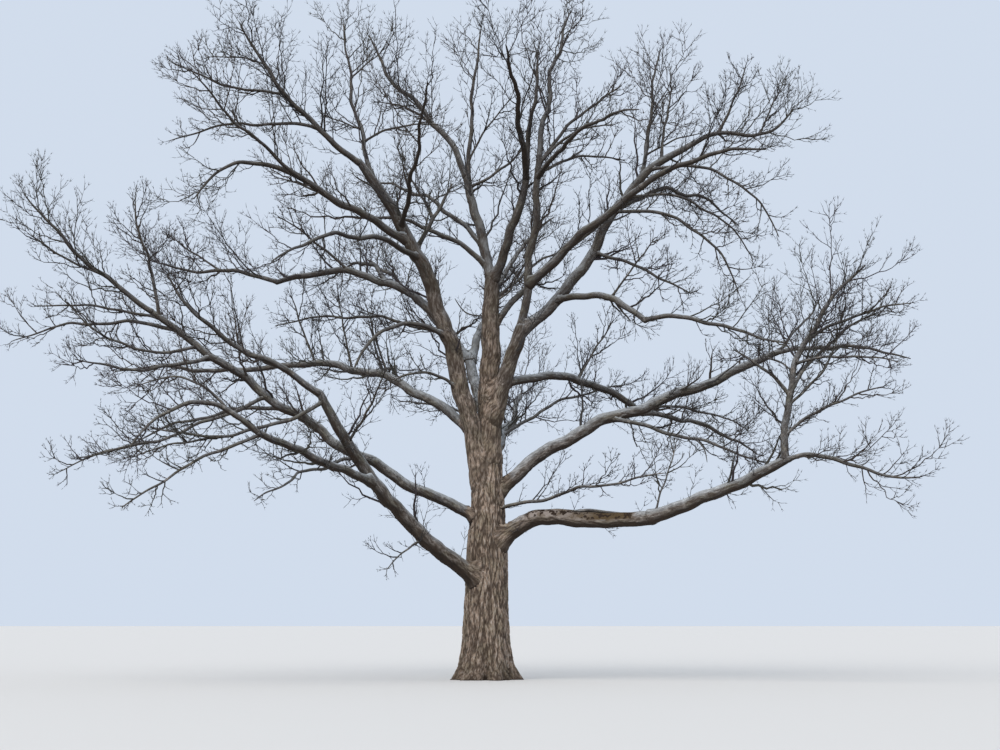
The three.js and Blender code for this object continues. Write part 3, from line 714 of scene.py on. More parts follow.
@dataclass
class BarkedLimb:
    """Builds the surface of the trunk or of one limb, with the relief of its bark."""

    facet: float = 0.035  # width of one face round a thick limb
    least_facet: float = 0.021
    full_radius: float = 0.12  # the mean radius from which faces have their full width
    stretch: float = 2.4  # length of a face over its width
    least_sides: int = 7
    least_rings: int = 6
    samples: int = 9  # at how many places its mean radius is taken
    end_rings: int = 4
    noise_step: tuple[float, float, float] = (1.7, 3.1, 0.9)  # from one limb's noise to the next one's
    bare_smooth: float = 0.8  # how much of the relief bare wood has lost
    hole_mark: float = 1.5  # how many times as deep as the bare wood a hole is at least
    sunk_start: float = 0.25  # how much thinner a limb starts inside its parent
    sunk_rise: float = 1.2  # over how much of its parent's radius a side limb comes to its full width
    young_radius: float = 0.02
    old_radius: float = 0.3
    relief: Relief = field(default_factory=Relief)

    def _rings(self, line: Limb | Trunk) -> tuple[Array, int]:
        """The shares at which a limb has rings, and how many sides they have.

        Args:
            line: The limb.

        Returns:
            The shares, and the number of sides.
        """
        mean = float(np.mean(line.radii(np.linspace(0, 1, self.samples))))
        facet = self.facet * min(1.0, mean / self.full_radius) ** 0.5
        facet = max(facet, min(self.facet, self.least_facet))
        sides = max(self.least_sides, round(TURN * mean / facet))
        count = max(self.least_rings, round(line.length / (facet * self.stretch)))
        return np.linspace(0, 1, count + 1), sides

    def build(
        self, line: Limb | Trunk, seed: int, join: Join | None = None, wound: Wound | None = None
    ) -> Skin:
        """The surface of one limb.

        Args:
            line: The limb or trunk.
            seed: Its own seed.
            join: How it meets the limbs that it grows from.
            wound: A decayed stretch on its upper side.

        Returns:
            The surface.
        """
        shares, sides = self._rings(line)
        points = line.points(shares)
        angles = np.arange(sides) * TURN / sides
        tangents, across = self._axes(line, points)
        spokes = spokes_round(across, np.cross(tangents, across), angles)
        if isinstance(line, Trunk):
            radii = line.radii(shares)
            out = radii[:, None] * line.ridges(shares, angles)
        else:
            radii = line.taper(shares)
            out = np.repeat(radii[:, None], sides, axis=1)
        seen_radii = np.repeat(radii, sides)
        along = shares * line.length
        flat = radii[:, None] * np.cos(angles), radii[:, None] * np.sin(angles)
        around = np.stack([*flat, np.broadcast_to(along[:, None], out.shape)], axis=2).reshape(-1, 3)
        around = around + seed * np.array(self.noise_step)
        height, furrow, grain = self.relief.on(around, seen_radii, seed)
        bare = np.zeros(len(height))
        decay = np.zeros(len(height))
        if wound:
            tilt = np.arctan2(-spokes[:, :, 1], spokes[:, :, 2]).ravel()
            bare, sunk, decay = wound.depth(np.repeat(shares, sides), tilt, around)
            height = height * (1 - self.bare_smooth * bare) - sunk
            # the rotted-out hollows are marked as furrows, so the material darkens them: the dark of rotten
            # wood with painted shade in the hollows
            holes = np.clip(sunk / wound.hollow, 0, 1) * (sunk > wound.sunk * self.hole_mark)
            furrow = furrow * (1 - bare) + holes
        if join:
            corners = (points[:, None, :] + spokes * out[:, :, None]).reshape(-1, 3)
            widening, nearness = join.widening(corners, spokes.reshape(-1, 3))
            out += widening.reshape(out.shape)
            seen_radii += (line.parent_radius - seen_radii) * nearness
            rise = line.parent_radius * (line.seat if line.plan.at == 1 else self.sunk_rise)
            out -= (self.sunk_start * radii * (1 - np.clip(along / rise, 0, 1)))[:, None]
        rings = points[:, None, :] + spokes * (out + height.reshape(out.shape))[:, :, None]
        age = np.clip((seen_radii - self.young_radius) / (self.old_radius - self.young_radius), 0, 1)
        marks = {"furrow": furrow, "bare": bare, "decay": decay, "age": age, "grain": grain}
        return self._close(rings, tangents[-1], marks)

    def _axes(self, line: Limb | Trunk, points: Array) -> tuple[Array, Array]:
        """The directions along a limb and across it, from which its rings are laid out.

        Args:
            line: The limb.
            points: The middles of its rings.

        Returns:
            The two directions of each ring.
        """
        if isinstance(line, Trunk):
            return np.tile(UP, (len(points), 1)), np.tile(RIGHT, (len(points), 1))
        tangents = unit(np.gradient(points, axis=0))
        return tangents, unit(line.aside - (tangents @ line.aside)[:, None] * tangents)

    def _close(self, rings: Array, tangent: Array, marks: dict[str, Array]) -> Skin:
        """Adds a rounded end to the rings, and the faces between them.

        Args:
            rings: The places of the rings.
            tangent: The direction in which the limb ends.
            marks: What the material reads at each of those places.

        Returns:
            The closed surface.
        """
        sides = rings.shape[1]
        last = rings[-1]
        centre = last.mean(axis=0)
        reach = float(np.linalg.norm(last - centre, axis=1).mean())
        turns = np.linspace(0, math.pi / 2, self.end_rings + 2)[1:-1]
        rounding = [(math.cos(turn), math.sin(turn)) for turn in turns]
        ends = [centre + (last - centre) * narrow + tangent * reach * far for narrow, far in rounding]
        middles = [centre + tangent * reach, rings[0].mean(axis=0)]
        vertices = np.concatenate([rings.reshape(-1, 3), *ends, middles])
        marks = {
            name: np.concatenate([values, *[values[-sides:]] * len(ends), values[-1:], values[:1]])
            for name, values in marks.items()
        }
        ring_count = len(rings) + len(ends)
        corner = np.arange(sides)
        after = (corner + 1) % sides
        tip = np.full(sides, len(vertices) - 2)
        foot = np.full(sides, len(vertices) - 1)
        top = (ring_count - 1) * sides
        tip_cap = np.stack([top + corner, top + after, tip], axis=1)
        foot_cap = np.stack([after, corner, foot], axis=1)
        faces = np.concatenate([ring_walls(ring_count, sides), tip_cap, foot_cap])
        return Skin(vertices, faces, **marks)


@dataclass(frozen=True)
class Order:
    """One order of side shoots: where they stand on their parent, how they lean, and how thick they are."""

    apart: float
    first: float  # they stand from this share of their parent's length to the next
    last: float
    lean: float  # in degrees, away from the parent's direction
    lift: float  # how far the tip turns up, as a share of the length
    length: float  # in spreads of the limb that carries them, for one at its parent's foot
    thick: float  # share of the parent's radius there, kept from least to most
    least: float
    most: float
    places: int
    sides: int
    probes: int  # how many of its places are tested against the other limbs
    salt: int = 0  # keeps its draws apart from those of the other orders
    kink: float = 0.05
    tuft: int = 0  # how many stand together at the tip, in place of being spread along the parent


# The first two are the source's own. The others go between them, at their tips, and carry them on.
SOURCE_FIRST = Order(
    apart=0.5, first=0.14, last=0.96, lean=52, lift=0.28, length=1.0, thick=0.4, least=0.019, most=0.045,
    places=7, sides=4, probes=6, kink=0.055,
)
SOURCE_SECOND = Order(
    apart=0.4, first=0.3, last=0.92, lean=42, lift=0.22, length=0.5, thick=0.55, least=0.0125, most=0.022,
    places=5, sides=3, probes=4, kink=0.07,
)
LONG = Order(
    apart=0.66, first=0.08, last=0.92, lean=46, lift=0.3, length=1.35, thick=0.42, least=0.022, most=0.042,
    places=10, sides=5, probes=7, salt=610007, kink=0.045,
)
ON_LONG = Order(
    apart=0.4, first=0.14, last=0.97, lean=46, lift=0.22, length=0.6, thick=0.55, least=0.0135, most=0.024,
    places=6, sides=3, probes=4, salt=620009, kink=0.08,
)
BETWEEN = Order(
    apart=0.4, first=0.1, last=0.98, lean=50, lift=0.35, length=0.5, thick=0.3, least=0.0115, most=0.017,
    places=5, sides=3, probes=4, salt=500009, kink=0.07,
)
SPROUTS = Order(
    apart=0.9, first=0.05, last=0.95, lean=60, lift=0.3, length=0.5, thick=0.03, least=0.0115, most=0.016,
    places=5, sides=3, probes=3, salt=810011, kink=0.09,
)
TIPS = Order(
    apart=0, first=0.9, last=1.0, lean=24, lift=0.15, length=0.55, thick=0.8, least=0.0125, most=0.018,
    places=5, sides=3, probes=2, salt=300007, tuft=3,
)
FINE = Order(
    apart=0.22, first=0.16, last=0.97, lean=48, lift=0.18, length=0.27, thick=0.6, least=0.0092, most=0.0128,
    places=3, sides=3, probes=1, salt=900001, kink=0.08,
)
FINE_TIPS = Order(
    apart=0, first=0.9, last=1.0, lean=28, lift=0.1, length=0.3, thick=0.8, least=0.0095, most=0.012,
    places=3, sides=3, probes=1, salt=200003, tuft=2,
)
FINEST = Order(
    apart=0.19, first=0.2, last=0.98, lean=45, lift=0.1, length=0.12, thick=0.6, least=0.0072, most=0.0085,
    places=2, sides=3, probes=0, salt=700001,
)
FINEST_TIPS = Order(
    apart=0, first=0.92, last=1.0, lean=28, lift=0.1, length=0.13, thick=0.8, least=0.0072, most=0.0085,
    places=2, sides=3, probes=0, salt=100003, tuft=2,
)

GOLDEN_ANGLE = 137.5
MOST_SHOOTS = 16  # the step from the seeds of one shoot's own shoots to those of the next one's
LENGTH_FALL = 0.45  # how much shorter shoots are towards their parent's tip
LENGTH_SPREAD = 0.3
LEAN_SPREAD = 14
TIP_SHARE = 0.35  # share of its radius at the foot that a shoot has near its tip
TINY = 1e-9  # keeps a direction straight up from being divided by nothing
STEEP = 0.8  # a tube that points up or down by more than this has its sides laid out from the right
LEAST_STRETCHES = 3  # of a limb, where gaps to it are measured
NONE = -1


@dataclass
class Shoots:
    """Many shoots side by side in arrays, each with the limb that carries it."""

    points: Array
    thick: Array
    thin: Array
    seed: Array
    spread: Array  # sets how long the shoots on its limb are
    full: Array  # share of its own shoots that it has kept
    first: Array  # share of its length at which they begin
    stem: Array  # the mass whose space it keeps to
    bough: Array  # the limb that it may touch
    region: Array
    spray: Array  # which of them have one colour

    @staticmethod
    def joined(groups: list["Shoots"]) -> "Shoots":
        """Several groups of shoots with as many places each, as one."""
        names = [item.name for item in fields(Shoots)]
        return Shoots(*[np.concatenate([getattr(group, name) for group in groups]) for name in names])

    def taken(self, chosen: Array) -> "Shoots":
        """Some of the shoots, chosen by rows or by a mask."""
        return Shoots(*[getattr(self, item.name)[chosen] for item in fields(Shoots)])

    def along(self, rows: Array, shares: Array) -> tuple[Array, Array]:
        """The place and the direction at a share of some of the shoots.

        Args:
            rows: Which shoots.
            shares: The share of each one's length.

        Returns:
            Places and directions.
        """
        last = self.points.shape[1] - 1
        stretch = np.minimum(last - 1, np.floor(shares * last).astype(int))
        part = (shares * last - stretch)[:, None]
        before = self.points[rows, stretch]
        after = self.points[rows, stretch + 1]
        step = after - before
        return before + step * part, unit(step)


@dataclass
class Lines:
    """Limbs as straight stretches in arrays, to measure how near a place is to each of them."""

    starts: Array
    runs: Array
    radii: Array
    narrowing: Array
    groups: Array
    chunk: int = 3000

    @staticmethod
    def of(limbs: list[Limb | Trunk], step: float) -> "Lines":
        """The stretches of several limbs.

        Args:
            limbs: The limbs.
            step: The length of a stretch.

        Returns:
            The stretches, in the limbs' order.
        """
        starts, runs, radii, narrowing, groups = [], [], [], [], [0]
        for limb in limbs:
            shares = np.linspace(0, 1, max(LEAST_STRETCHES, round(limb.length / step)) + 1)
            points, widths = limb.points(shares), limb.radii(shares)
            starts.append(points[:-1])
            runs.append(np.diff(points, axis=0))
            radii.append(widths[:-1])
            narrowing.append(np.diff(widths))
            groups.append(groups[-1] + len(points) - 1)
        joined = [np.concatenate(part) for part in (starts, runs, radii, narrowing)]
        return Lines(*joined, groups=np.array(groups[:-1]))

    def gaps(self, places: Array, from_surface: bool) -> Array:
        """The distance from places to each limb.

        Args:
            places: The places.
            from_surface: True to measure from the limb's surface, and not from its line.

        Returns:
            A row a place and a column a limb.
        """
        found = []
        squares = (self.runs**2).sum(axis=1)
        for begin in range(0, len(places), self.chunk):
            away = places[begin : begin + self.chunk, None, :] - self.starts
            part = np.clip((away * self.runs).sum(axis=2) / squares, 0, 1)
            gap = np.linalg.norm(away - part[:, :, None] * self.runs, axis=2)
            if from_surface:
                gap = gap - (self.radii + part * self.narrowing)
            found.append(np.minimum.reduceat(gap, self.groups, axis=1))
        return np.concatenate(found) if found else np.zeros((0, len(self.groups)))


@dataclass
class Space:
    """The room that the twigs have: each mass has its own, clear of the limbs and inside the tree's box."""

    stems: Lines
    limbs: Lines
    low: Array
    high: Array
    margin: float = 0.14  # how much nearer a twig stays to its own mass's stem than to the others
    clearance: float = 0.06
    ground: float = 1.2

    def allows(self, shoots: Shoots, probes: int) -> Array:
        """Which shoots stay in their space.

        Args:
            shoots: The shoots.
            probes: How many of each one's places are tested, from the tip.

        Returns:
            A mask.
        """
        tips = shoots.points[:, -1]
        inside = np.all((tips > self.low) & (tips < self.high), axis=1) & (tips[:, 2] > self.ground)
        if not probes:
            return inside
        rows = np.flatnonzero(inside)
        places = shoots.points[rows, -probes:].reshape(-1, 3)
        gaps = self.limbs.gaps(places, True)
        own = np.repeat(shoots.bough[rows], probes)
        held = own != NONE
        gaps[np.flatnonzero(held), own[held]] = np.inf
        fine = gaps.min(axis=1) > self.clearance
        stem = np.repeat(shoots.stem[rows], probes)
        kept = np.flatnonzero(stem != NONE)
        lines = self.stems.gaps(places[kept], False)
        mine = lines[np.arange(len(kept)), stem[kept]]
        lines[np.arange(len(kept)), stem[kept]] = np.inf
        fine[kept] &= lines.min(axis=1) >= mine + self.margin
        inside[rows] = fine.reshape(-1, probes).all(axis=1)
        return inside


def bent_paths(
    order: Order, place: Array, heading: Array, side: Array, length: Array, draws: Draws
) -> Array:
    """The lines of shoots, which lift towards the tip and bend a little at each place.

    Args:
        order: How they lift and bend.
        place: Where each one starts.
        heading: The direction in which it sets out.
        side: The direction in which it leans away from its parent.
        length: Its length.
        draws: Its own draws.

    Returns:
        A row of places for each.
    """
    steps = np.linspace(0, 1, order.places)
    path = place[:, None, :] + (heading * length[:, None])[:, None, :] * steps[None, :, None]
    path += UP * (order.lift * length[:, None] * steps**2)[:, :, None]
    turned = np.cross(heading, side)
    for step in range(1, order.places - 1):
        bend = order.kink * length * math.sin(math.pi * steps[step]) ** 0.5
        for way in (side, turned):
            path[:, step] += way * (bend * draws.swing())[:, None]
    return path


def grow(parents: Shoots, order: Order, space: Space) -> Shoots:
    """Side shoots on other shoots by the seeded rule. One that would leave its space is skipped.

    Args:
        parents: The shoots that carry them.
        order: Where they stand, how they lean and how thick they are.
        space: The room that they have.

    Returns:
        The side shoots.
    """
    first = np.maximum(order.first, parents.first)
    chord = np.linalg.norm(parents.points[:, -1] - parents.points[:, 0], axis=1)
    if order.tuft:
        counts = np.full(len(chord), order.tuft)
    else:
        counts = np.floor((order.last - first) * chord / order.apart + 0.5).astype(int)
    row = np.repeat(np.arange(len(counts)), counts)
    index = np.arange(len(row)) - np.repeat(np.cumsum(counts) - counts, counts)
    seed = parents.seed[row] * MOST_SHOOTS + index + 1 + order.salt
    draws = Draws(seed)
    share = first[row] + (order.last - first[row]) * (index + draws.next()) / counts[row]
    spin = np.radians(np.mod(GOLDEN_ANGLE * (parents.seed[row] + index), 360))[:, None]
    place, direction = parents.along(row, share)
    lean = np.radians(order.lean + LEAN_SPREAD * draws.swing())[:, None]
    across = np.cross(UP, direction)
    across /= np.linalg.norm(across, axis=1, keepdims=True) + TINY
    upright = np.cross(direction, across)
    side = across * np.cos(spin) + upright * np.sin(spin)
    heading = direction * np.cos(lean) + side * np.sin(lean)
    fall = 1 - LENGTH_FALL * share
    length = parents.spread[row] * order.length * fall * (1 + LENGTH_SPREAD * draws.swing())
    path = bent_paths(order, place, heading, side, length, draws)
    carried = parents.thick[row] + (parents.thin[row] - parents.thick[row]) * share
    thick = np.clip(order.thick * carried, order.least, order.most)
    shoots = replace(
        parents.taken(row),
        points=path,
        thick=thick,
        thin=thick * TIP_SHARE,
        seed=seed,
        full=np.ones(len(row)),
        first=np.zeros(len(row)),
        spray=np.where(parents.spray[row] == NONE, seed, parents.spray[row]),
    )
    shoots = shoots.taken(draws.next() <= parents.full[row])
    return shoots.taken(space.allows(shoots, order.probes))


def twig_surface(shoots: Shoots, sides: int) -> tuple[Array, Array]:
    """Slim tubes along shoots, each running out to a point.

    Args:
        shoots: The shoots.
        sides: How many sides a tube has.

    Returns:
        Vertices and three-cornered faces.
    """
    points = shoots.points
    count, places = points.shape[:2]
    chord = unit(points[:, -1] - points[:, 0])
    aside = np.where(np.abs(chord[:, 2:3]) > STEEP, RIGHT[None, :], UP[None, :])
    across = unit(np.cross(chord, aside))
    spokes = spokes_round(across, np.cross(chord, across), np.arange(sides) * TURN / sides)
    shares = np.linspace(0, 1, places)[:-1]
    radii = shoots.thick[:, None] + (shoots.thin - shoots.thick)[:, None] * shares
    rings = points[:, :-1, None, :] + spokes[:, None, :, :] * radii[:, :, None, None]
    vertices = np.concatenate([rings.reshape(-1, 3), points[:, -1]])
    each = (places - 1) * sides
    starts = np.arange(count)[:, None] * each
    walls = (ring_walls(places - 1, sides)[None] + starts[:, :, None]).reshape(-1, 3)
    last = starts + each - sides
    top = last + np.arange(sides)
    after = last + (np.arange(sides) + 1) % sides
    tips = np.broadcast_to(count * each + np.arange(count)[:, None], top.shape)
    return vertices, np.concatenate([walls, np.stack([top, after, tips], axis=2).reshape(-1, 3)])


def mesh_object(name: str, vertices: Array, faces: Array, slots: Array | None = None) -> bpy.types.Object:
    """A mesh in the scene, from arrays.

    Args:
        name: The piece's name.
        vertices: Its corners.
        faces: Its three-cornered faces.
        slots: The material slot of each face.

    Returns:
        The object.
    """
    data = bpy.data.meshes.new(name)
    data.vertices.add(len(vertices))
    data.vertices.foreach_set("co", np.ascontiguousarray(vertices, np.float32).ravel())
    data.loops.add(faces.size)
    data.loops.foreach_set("vertex_index", np.ascontiguousarray(faces, np.int32).ravel())
    data.polygons.add(len(faces))
    data.polygons.foreach_set("loop_start", np.arange(0, faces.size, 3, dtype=np.int32))
    if slots is not None:
        data.polygons.foreach_set("material_index", np.ascontiguousarray(slots, np.int32))
    data.polygons.foreach_set("use_smooth", np.ones(len(faces), bool))
    data.update(calc_edges=True)
    made = bpy.data.objects.new(name, data)
    bpy.context.scene.collection.objects.link(made)
    return made


def fill(node: bpy.types.Node, values: dict[str, float | tuple]) -> None:
    """Sets some of a node's inputs, by their names."""
    for name, value in values.items():
        node.inputs[name].default_value = value


@dataclass(frozen=True)
class Spots:
    """Noise in spots: how many to a unit, how many finer layers, and the levels between which they grow."""

    scale: float
    detail: float
    levels: Span


class Nodes:
    """Short ways to lay out a material's nodes."""

    def __init__(self, name: str) -> None:
        """Starts a material with an empty principled shader.

        Args:
            name: The material's name.
        """
        self.material = bpy.data.materials.new(name)
        self.material.use_nodes = True
        self.tree = self.material.node_tree
        self.shader = self.tree.nodes["Principled BSDF"]

    def add(self, kind: str, **settings: object) -> bpy.types.Node:
        """A node with some of its settings.

        Args:
            kind: The node's type.
            **settings: Names and values of its settings.

        Returns:
            The node.
        """
        node = self.tree.nodes.new(kind)
        for name, value in settings.items():
            setattr(node, name, value)
        return node

    def link(self, source: Socket, target: Socket) -> None:
        """Joins an output to an input."""
        self.tree.links.new(source, target)

    def plain(self, colour: Colour) -> Socket:
        """A colour as an output.

        Args:
            colour: The colour.

        Returns:
            The output.
        """
        node = self.add("ShaderNodeRGB")
        node.outputs[0].default_value = (*colour, 1)
        return node.outputs[0]

    def mark(self, name: str, output: str = "Fac") -> Socket:
        """What the mesh carries under a name."""
        return self.add("ShaderNodeAttribute", attribute_name=name).outputs[output]

    def upward(self, vector: Socket) -> Socket:
        """The upward part of a vector.

        Args:
            vector: The vector.

        Returns:
            Its Z.
        """
        node = self.add("ShaderNodeSeparateXYZ")
        self.link(vector, node.inputs[0])
        return node.outputs["Z"]

    def noise(self, places: Socket, scale: float, detail: float) -> Socket:
        """Noise over places.

        Args:
            places: Where it is read.
            scale: Its lumps to a unit.
            detail: How many finer layers it has.

        Returns:
            The noise's output.
        """
        node = self.add("ShaderNodeTexNoise")
        fill(node, {"Scale": scale, "Detail": detail})
        self.link(places, node.inputs["Vector"])
        return node.outputs["Fac"]

    def between(self, value: Socket, levels: Span) -> Socket:
        """A value's way from one level to another, as 0 to 1.

        Args:
            value: The value.
            levels: What gives 0 and what gives 1.

        Returns:
            The share.
        """
        node = self.add("ShaderNodeMapRange")
        fill(node, {"From Min": levels[0], "From Max": levels[1]})
        self.link(value, node.inputs["Value"])
        return node.outputs["Result"]

    def spots(self, places: Socket, spots: Spots) -> Socket:
        """How much of a spot there is at places, from 0 to 1."""
        return self.between(self.noise(places, spots.scale, spots.detail), spots.levels)

    def times(self, first: Socket, *others: Socket | float) -> Socket:
        """The product of several values.

        Args:
            first: A value.
            *others: Values or numbers.

        Returns:
            The product.
        """
        product = first
        for other in others:
            node = self.add("ShaderNodeMath", operation="MULTIPLY")
            self.link(product, node.inputs[0])
            if isinstance(other, float):
                node.inputs[1].default_value = other
            else:
                self.link(other, node.inputs[1])
            product = node.outputs[0]
        return product

    def mixed(self, share: Socket, under: Socket, colour: Colour) -> Socket:
        """A colour laid over another by a share.

        Args:
            share: How much of it covers.
            under: The colour underneath.
            colour: The colour laid over it.

        Returns:
            The mixed colour.
        """
        node = self.add("ShaderNodeMix", data_type="RGBA")
        self.link(share, node.inputs["Factor"])
        self.link(under, node.inputs["A"])
        node.inputs["B"].default_value = (*colour, 1)
        return node.outputs["Result"]


class BarkNodes(Nodes):
    """The nodes of a material for bark, with what it reads of each place."""

    def __init__(self, name: str) -> None:
        """Starts the material and adds what it reads.

        Args:
            name: The material's name.
        """
        super().__init__(name)
        self.space = self.add("ShaderNodeTexCoord").outputs["Object"]
        self.height = self.upward(self.space)
        self.facing_up = self.upward(self.add("ShaderNodeNewGeometry").outputs["Normal"])
        self.grain = self.mark("grain", "Vector")
        self.furrow, self.bare, self.decay, self.age = (self.mark(name) for name in MARKS)


@dataclass(frozen=True)
class BarkFinish:
    """The look of the bark: dark on thin wood, silvery on thicker, browner on the thickest, with furrows,
    painted light on upper sides and painted shade in the furrows and on lower sides.

    A share is how much of a layer's colour shows where it is full. A pair of levels says where a layer
    starts and where it is full.
    """

    name: str
    old: Colour = (0.325, 0.245, 0.188)
    middle: Colour = (0.126, 0.131, 0.135)
    young: Colour = (0.112, 0.113, 0.117)
    pale: Colour = (0.45, 0.41, 0.37)
    # painted light: the pale bluish grey of upper sides lit by the sky
    top: Colour = (0.56, 0.6, 0.63)
    # the furrows' own dark bark, with painted shade in them
    furrow: Colour = (0.044, 0.031, 0.023)
    green: Colour = (0.14, 0.13, 0.075)
    # painted shade: the near-black laid on lower sides and on the high limbs; the same colour also darkens
    # the foot
    damp: Colour = (0.018, 0.015, 0.013)
    wood: Colour = (0.27, 0.232, 0.21)
    rot: Colour = (0.088, 0.062, 0.034)
    # painted shade: the near-black of holes in the rotted wood
    hole: Colour = (0.03, 0.02, 0.014)
    middle_age: Span = (0.06, 0.5)
    old_age: Span = (0.5, 1.0)
    streak_scale: float = 3.1
    streak_detail: float = 5.0
    pale_streaks: Span = (0.52, 0.66)
    pale_age: Span = (-0.8, 1.55)
    # the furrows' own dark with painted shade, on streaks along the grain and in the carved furrows
    dark_streaks: Span = (0.48, 0.38)
    dark_share: float = 0.8
    furrow_share: float = 0.9
    marked_age: Span = (-0.9, 0.7)  # the age at which streaks and furrows are seen
    patches: Spots = Spots(4.7, 5.0, (0.56, 0.66))
    patch_share: float = 0.5
    patch_age: Span = (1.0, 0.5)
    # painted light on upper sides, by how far they face up and by age, laid again over the furrows
    top_facing: Span = (0.12, 0.85)
    top_share: float = 0.8
    top_ages: tuple[Span, Span] = ((1.0, 0.6), (0.0, 0.5))
    glaze_share: float = 0.45
    moss: Spots = Spots(2.3, 6.0, (0.46, 0.62))
    green_share: float = 0.4
    # painted shade on the sides that face down
    damp_facing: Span = (-0.12, -0.6)
    damp_share: float = 0.97
    # darker towards the foot of the trunk
    foot_height: Span = (0.8, 0.0)
    foot_share: float = 0.45
    # painted shade on the high limbs, as inside the crown
    high_height: Span = (8.0, 12.0)
    high_share: float = 0.42
    weathering: Spots = Spots(6.0, 6.0, (0.48, 0.58))
    weathered_share: float = 0.6
    # spots of painted shade that stand for holes in the bare wood
    holes: Spots = Spots(7.5, 4.0, (0.53, 0.58))
    bump: float = 0.6
    bump_height: float = 0.02
    bump_scale: float = 5.3
    bump_detail: float = 6.0
    roughness: float = 0.93
    gloss: float = 0.12

    def material(self) -> bpy.types.Material:
        """The bark's material.

        Returns:
            The material.
        """
        nodes = BarkNodes(self.name)
        streaks = nodes.noise(nodes.grain, self.streak_scale, self.streak_detail)
        # painted light on upper sides, as lit from the sky
        facing = nodes.between(nodes.facing_up, self.top_facing)
        ages = [nodes.between(nodes.age, span) for span in self.top_ages]
        tops = nodes.times(facing, self.top_share, *ages)
        colour = self._dry(nodes, streaks, tops)
        colour = self._damp(nodes, colour)
        colour = self._marked(nodes, colour, streaks, tops)
        colour = self._bare(nodes, colour)
        nodes.link(colour, nodes.shader.inputs["Base Color"])
        fill(nodes.shader, {"Roughness": self.roughness, "Specular IOR Level": self.gloss})
        bump = nodes.add("ShaderNodeBump")
        fill(bump, {"Distance": self.bump_height, "Strength": self.bump})
        nodes.link(nodes.noise(nodes.grain, self.bump_scale, self.bump_detail), bump.inputs["Height"])
        nodes.link(bump.outputs["Normal"], nodes.shader.inputs["Normal"])
        return nodes.material

    def _dry(self, nodes: BarkNodes, streaks: Socket, tops: Socket) -> Socket:
        """The bark's own colour by its age, with pale streaks and patches, and painted light on upper sides.

        Args:
            nodes: The material's nodes.
            streaks: Noise along the grain.
            tops: How much painted light from above each place has, by how far it faces up.

        Returns:
            The colour.
        """
        colour = nodes.mixed(nodes.between(nodes.age, self.middle_age), nodes.plain(self.young), self.middle)
        colour = nodes.mixed(nodes.between(nodes.age, self.old_age), colour, self.old)
        pale = nodes.between(streaks, self.pale_streaks)
        pale = nodes.times(pale, nodes.between(nodes.age, self.pale_age))
        colour = nodes.mixed(pale, colour, self.pale)
        patches = nodes.times(nodes.spots(nodes.space, self.patches), self.patch_share)
        patches = nodes.times(patches, nodes.between(nodes.age, self.patch_age))
        colour = nodes.mixed(patches, colour, self.pale)
        return nodes.mixed(tops, colour, self.top)

    def _damp(self, nodes: BarkNodes, colour: Socket) -> Socket:
        """Green growth in spots, painted shade on lower sides and on the high limbs inside the crown, and
        darker towards the foot.

        Args:
            nodes: The material's nodes.
            colour: The colour underneath.

        Returns:
            The colour.
        """
        moss = nodes.times(nodes.spots(nodes.space, self.moss), self.green_share)
        colour = nodes.mixed(moss, colour, self.green)
        # painted shade on lower sides and on the high limbs inside the crown, and darker towards the foot
        layers = (
            (nodes.facing_up, self.damp_facing, self.damp_share),
            (nodes.height, self.foot_height, self.foot_share),
            (nodes.height, self.high_height, self.high_share),
        )
        for value, levels, share in layers:
            colour = nodes.mixed(nodes.times(nodes.between(value, levels), share), colour, self.damp)
        return colour

    def _marked(self, nodes: BarkNodes, colour: Socket, streaks: Socket, tops: Socket) -> Socket:
        """Dark streaks and furrows, the bark's own dark with painted shade in them, with the painted light
        of upper sides laid over them again.

        Args:
            nodes: The material's nodes.
            colour: The colour underneath.
            streaks: Noise along the grain.
            tops: How much painted light from above each place has, by how far it faces up.

        Returns:
            The colour.
        """
        marked = nodes.between(nodes.age, self.marked_age)
        # the furrows' own dark with painted shade in them
        dark = nodes.times(nodes.between(streaks, self.dark_streaks), self.dark_share, marked)
        colour = nodes.mixed(dark, colour, self.furrow)
        colour = nodes.mixed(nodes.times(nodes.furrow, self.furrow_share, marked), colour, self.furrow)
        # painted light of upper sides, laid again over the dark furrows
        return nodes.mixed(nodes.times(tops, self.glaze_share), colour, self.top)

    def _bare(self, nodes: BarkNodes, colour: Socket) -> Socket:
        """Bare wood with its rot, where the bark is lost, and its holes as spots of painted shade.

        Args:
            nodes: The material's nodes.
            colour: The colour of the bark.

        Returns:
            The colour.
        """
        colour = nodes.mixed(nodes.bare, colour, self.wood)
        weathered = nodes.spots(nodes.space, self.weathering)
        weathered = nodes.times(weathered, nodes.times(nodes.bare, self.weathered_share))
        colour = nodes.mixed(weathered, colour, self.rot)
        colour = nodes.mixed(nodes.times(nodes.decay, nodes.bare), colour, self.rot)
        # painted shade: near-black spots that stand for holes in the bare wood
        return nodes.mixed(nodes.times(nodes.spots(nodes.space, self.holes), nodes.bare), colour, self.hole)


@dataclass(frozen=True)
class TwigFinish:
    """A plain colour for some of the sprays of twigs."""

    name: str
    colour: Colour
    roughness: float = 0.85
    gloss: float = 0.2

    def material(self) -> bpy.types.Material:
        """The twigs' material.

        Returns:
            The material.
        """
        nodes = Nodes(self.name)
        fill(nodes.shader, {"Base Color": (*self.colour, 1), "Roughness": self.roughness})
        fill(nodes.shader, {"Specular IOR Level": self.gloss})
        return nodes.material


TWIG_FINISHES = (
    TwigFinish("twig_grey", (0.05, 0.047, 0.046)),
    TwigFinish("twig_brown", (0.045, 0.036, 0.031)),
    TwigFinish("twig_dark", (0.031, 0.027, 0.026)),
    TwigFinish("twig_violet", (0.042, 0.035, 0.038)),
    TwigFinish("twig_olive", (0.047, 0.044, 0.036)),
)


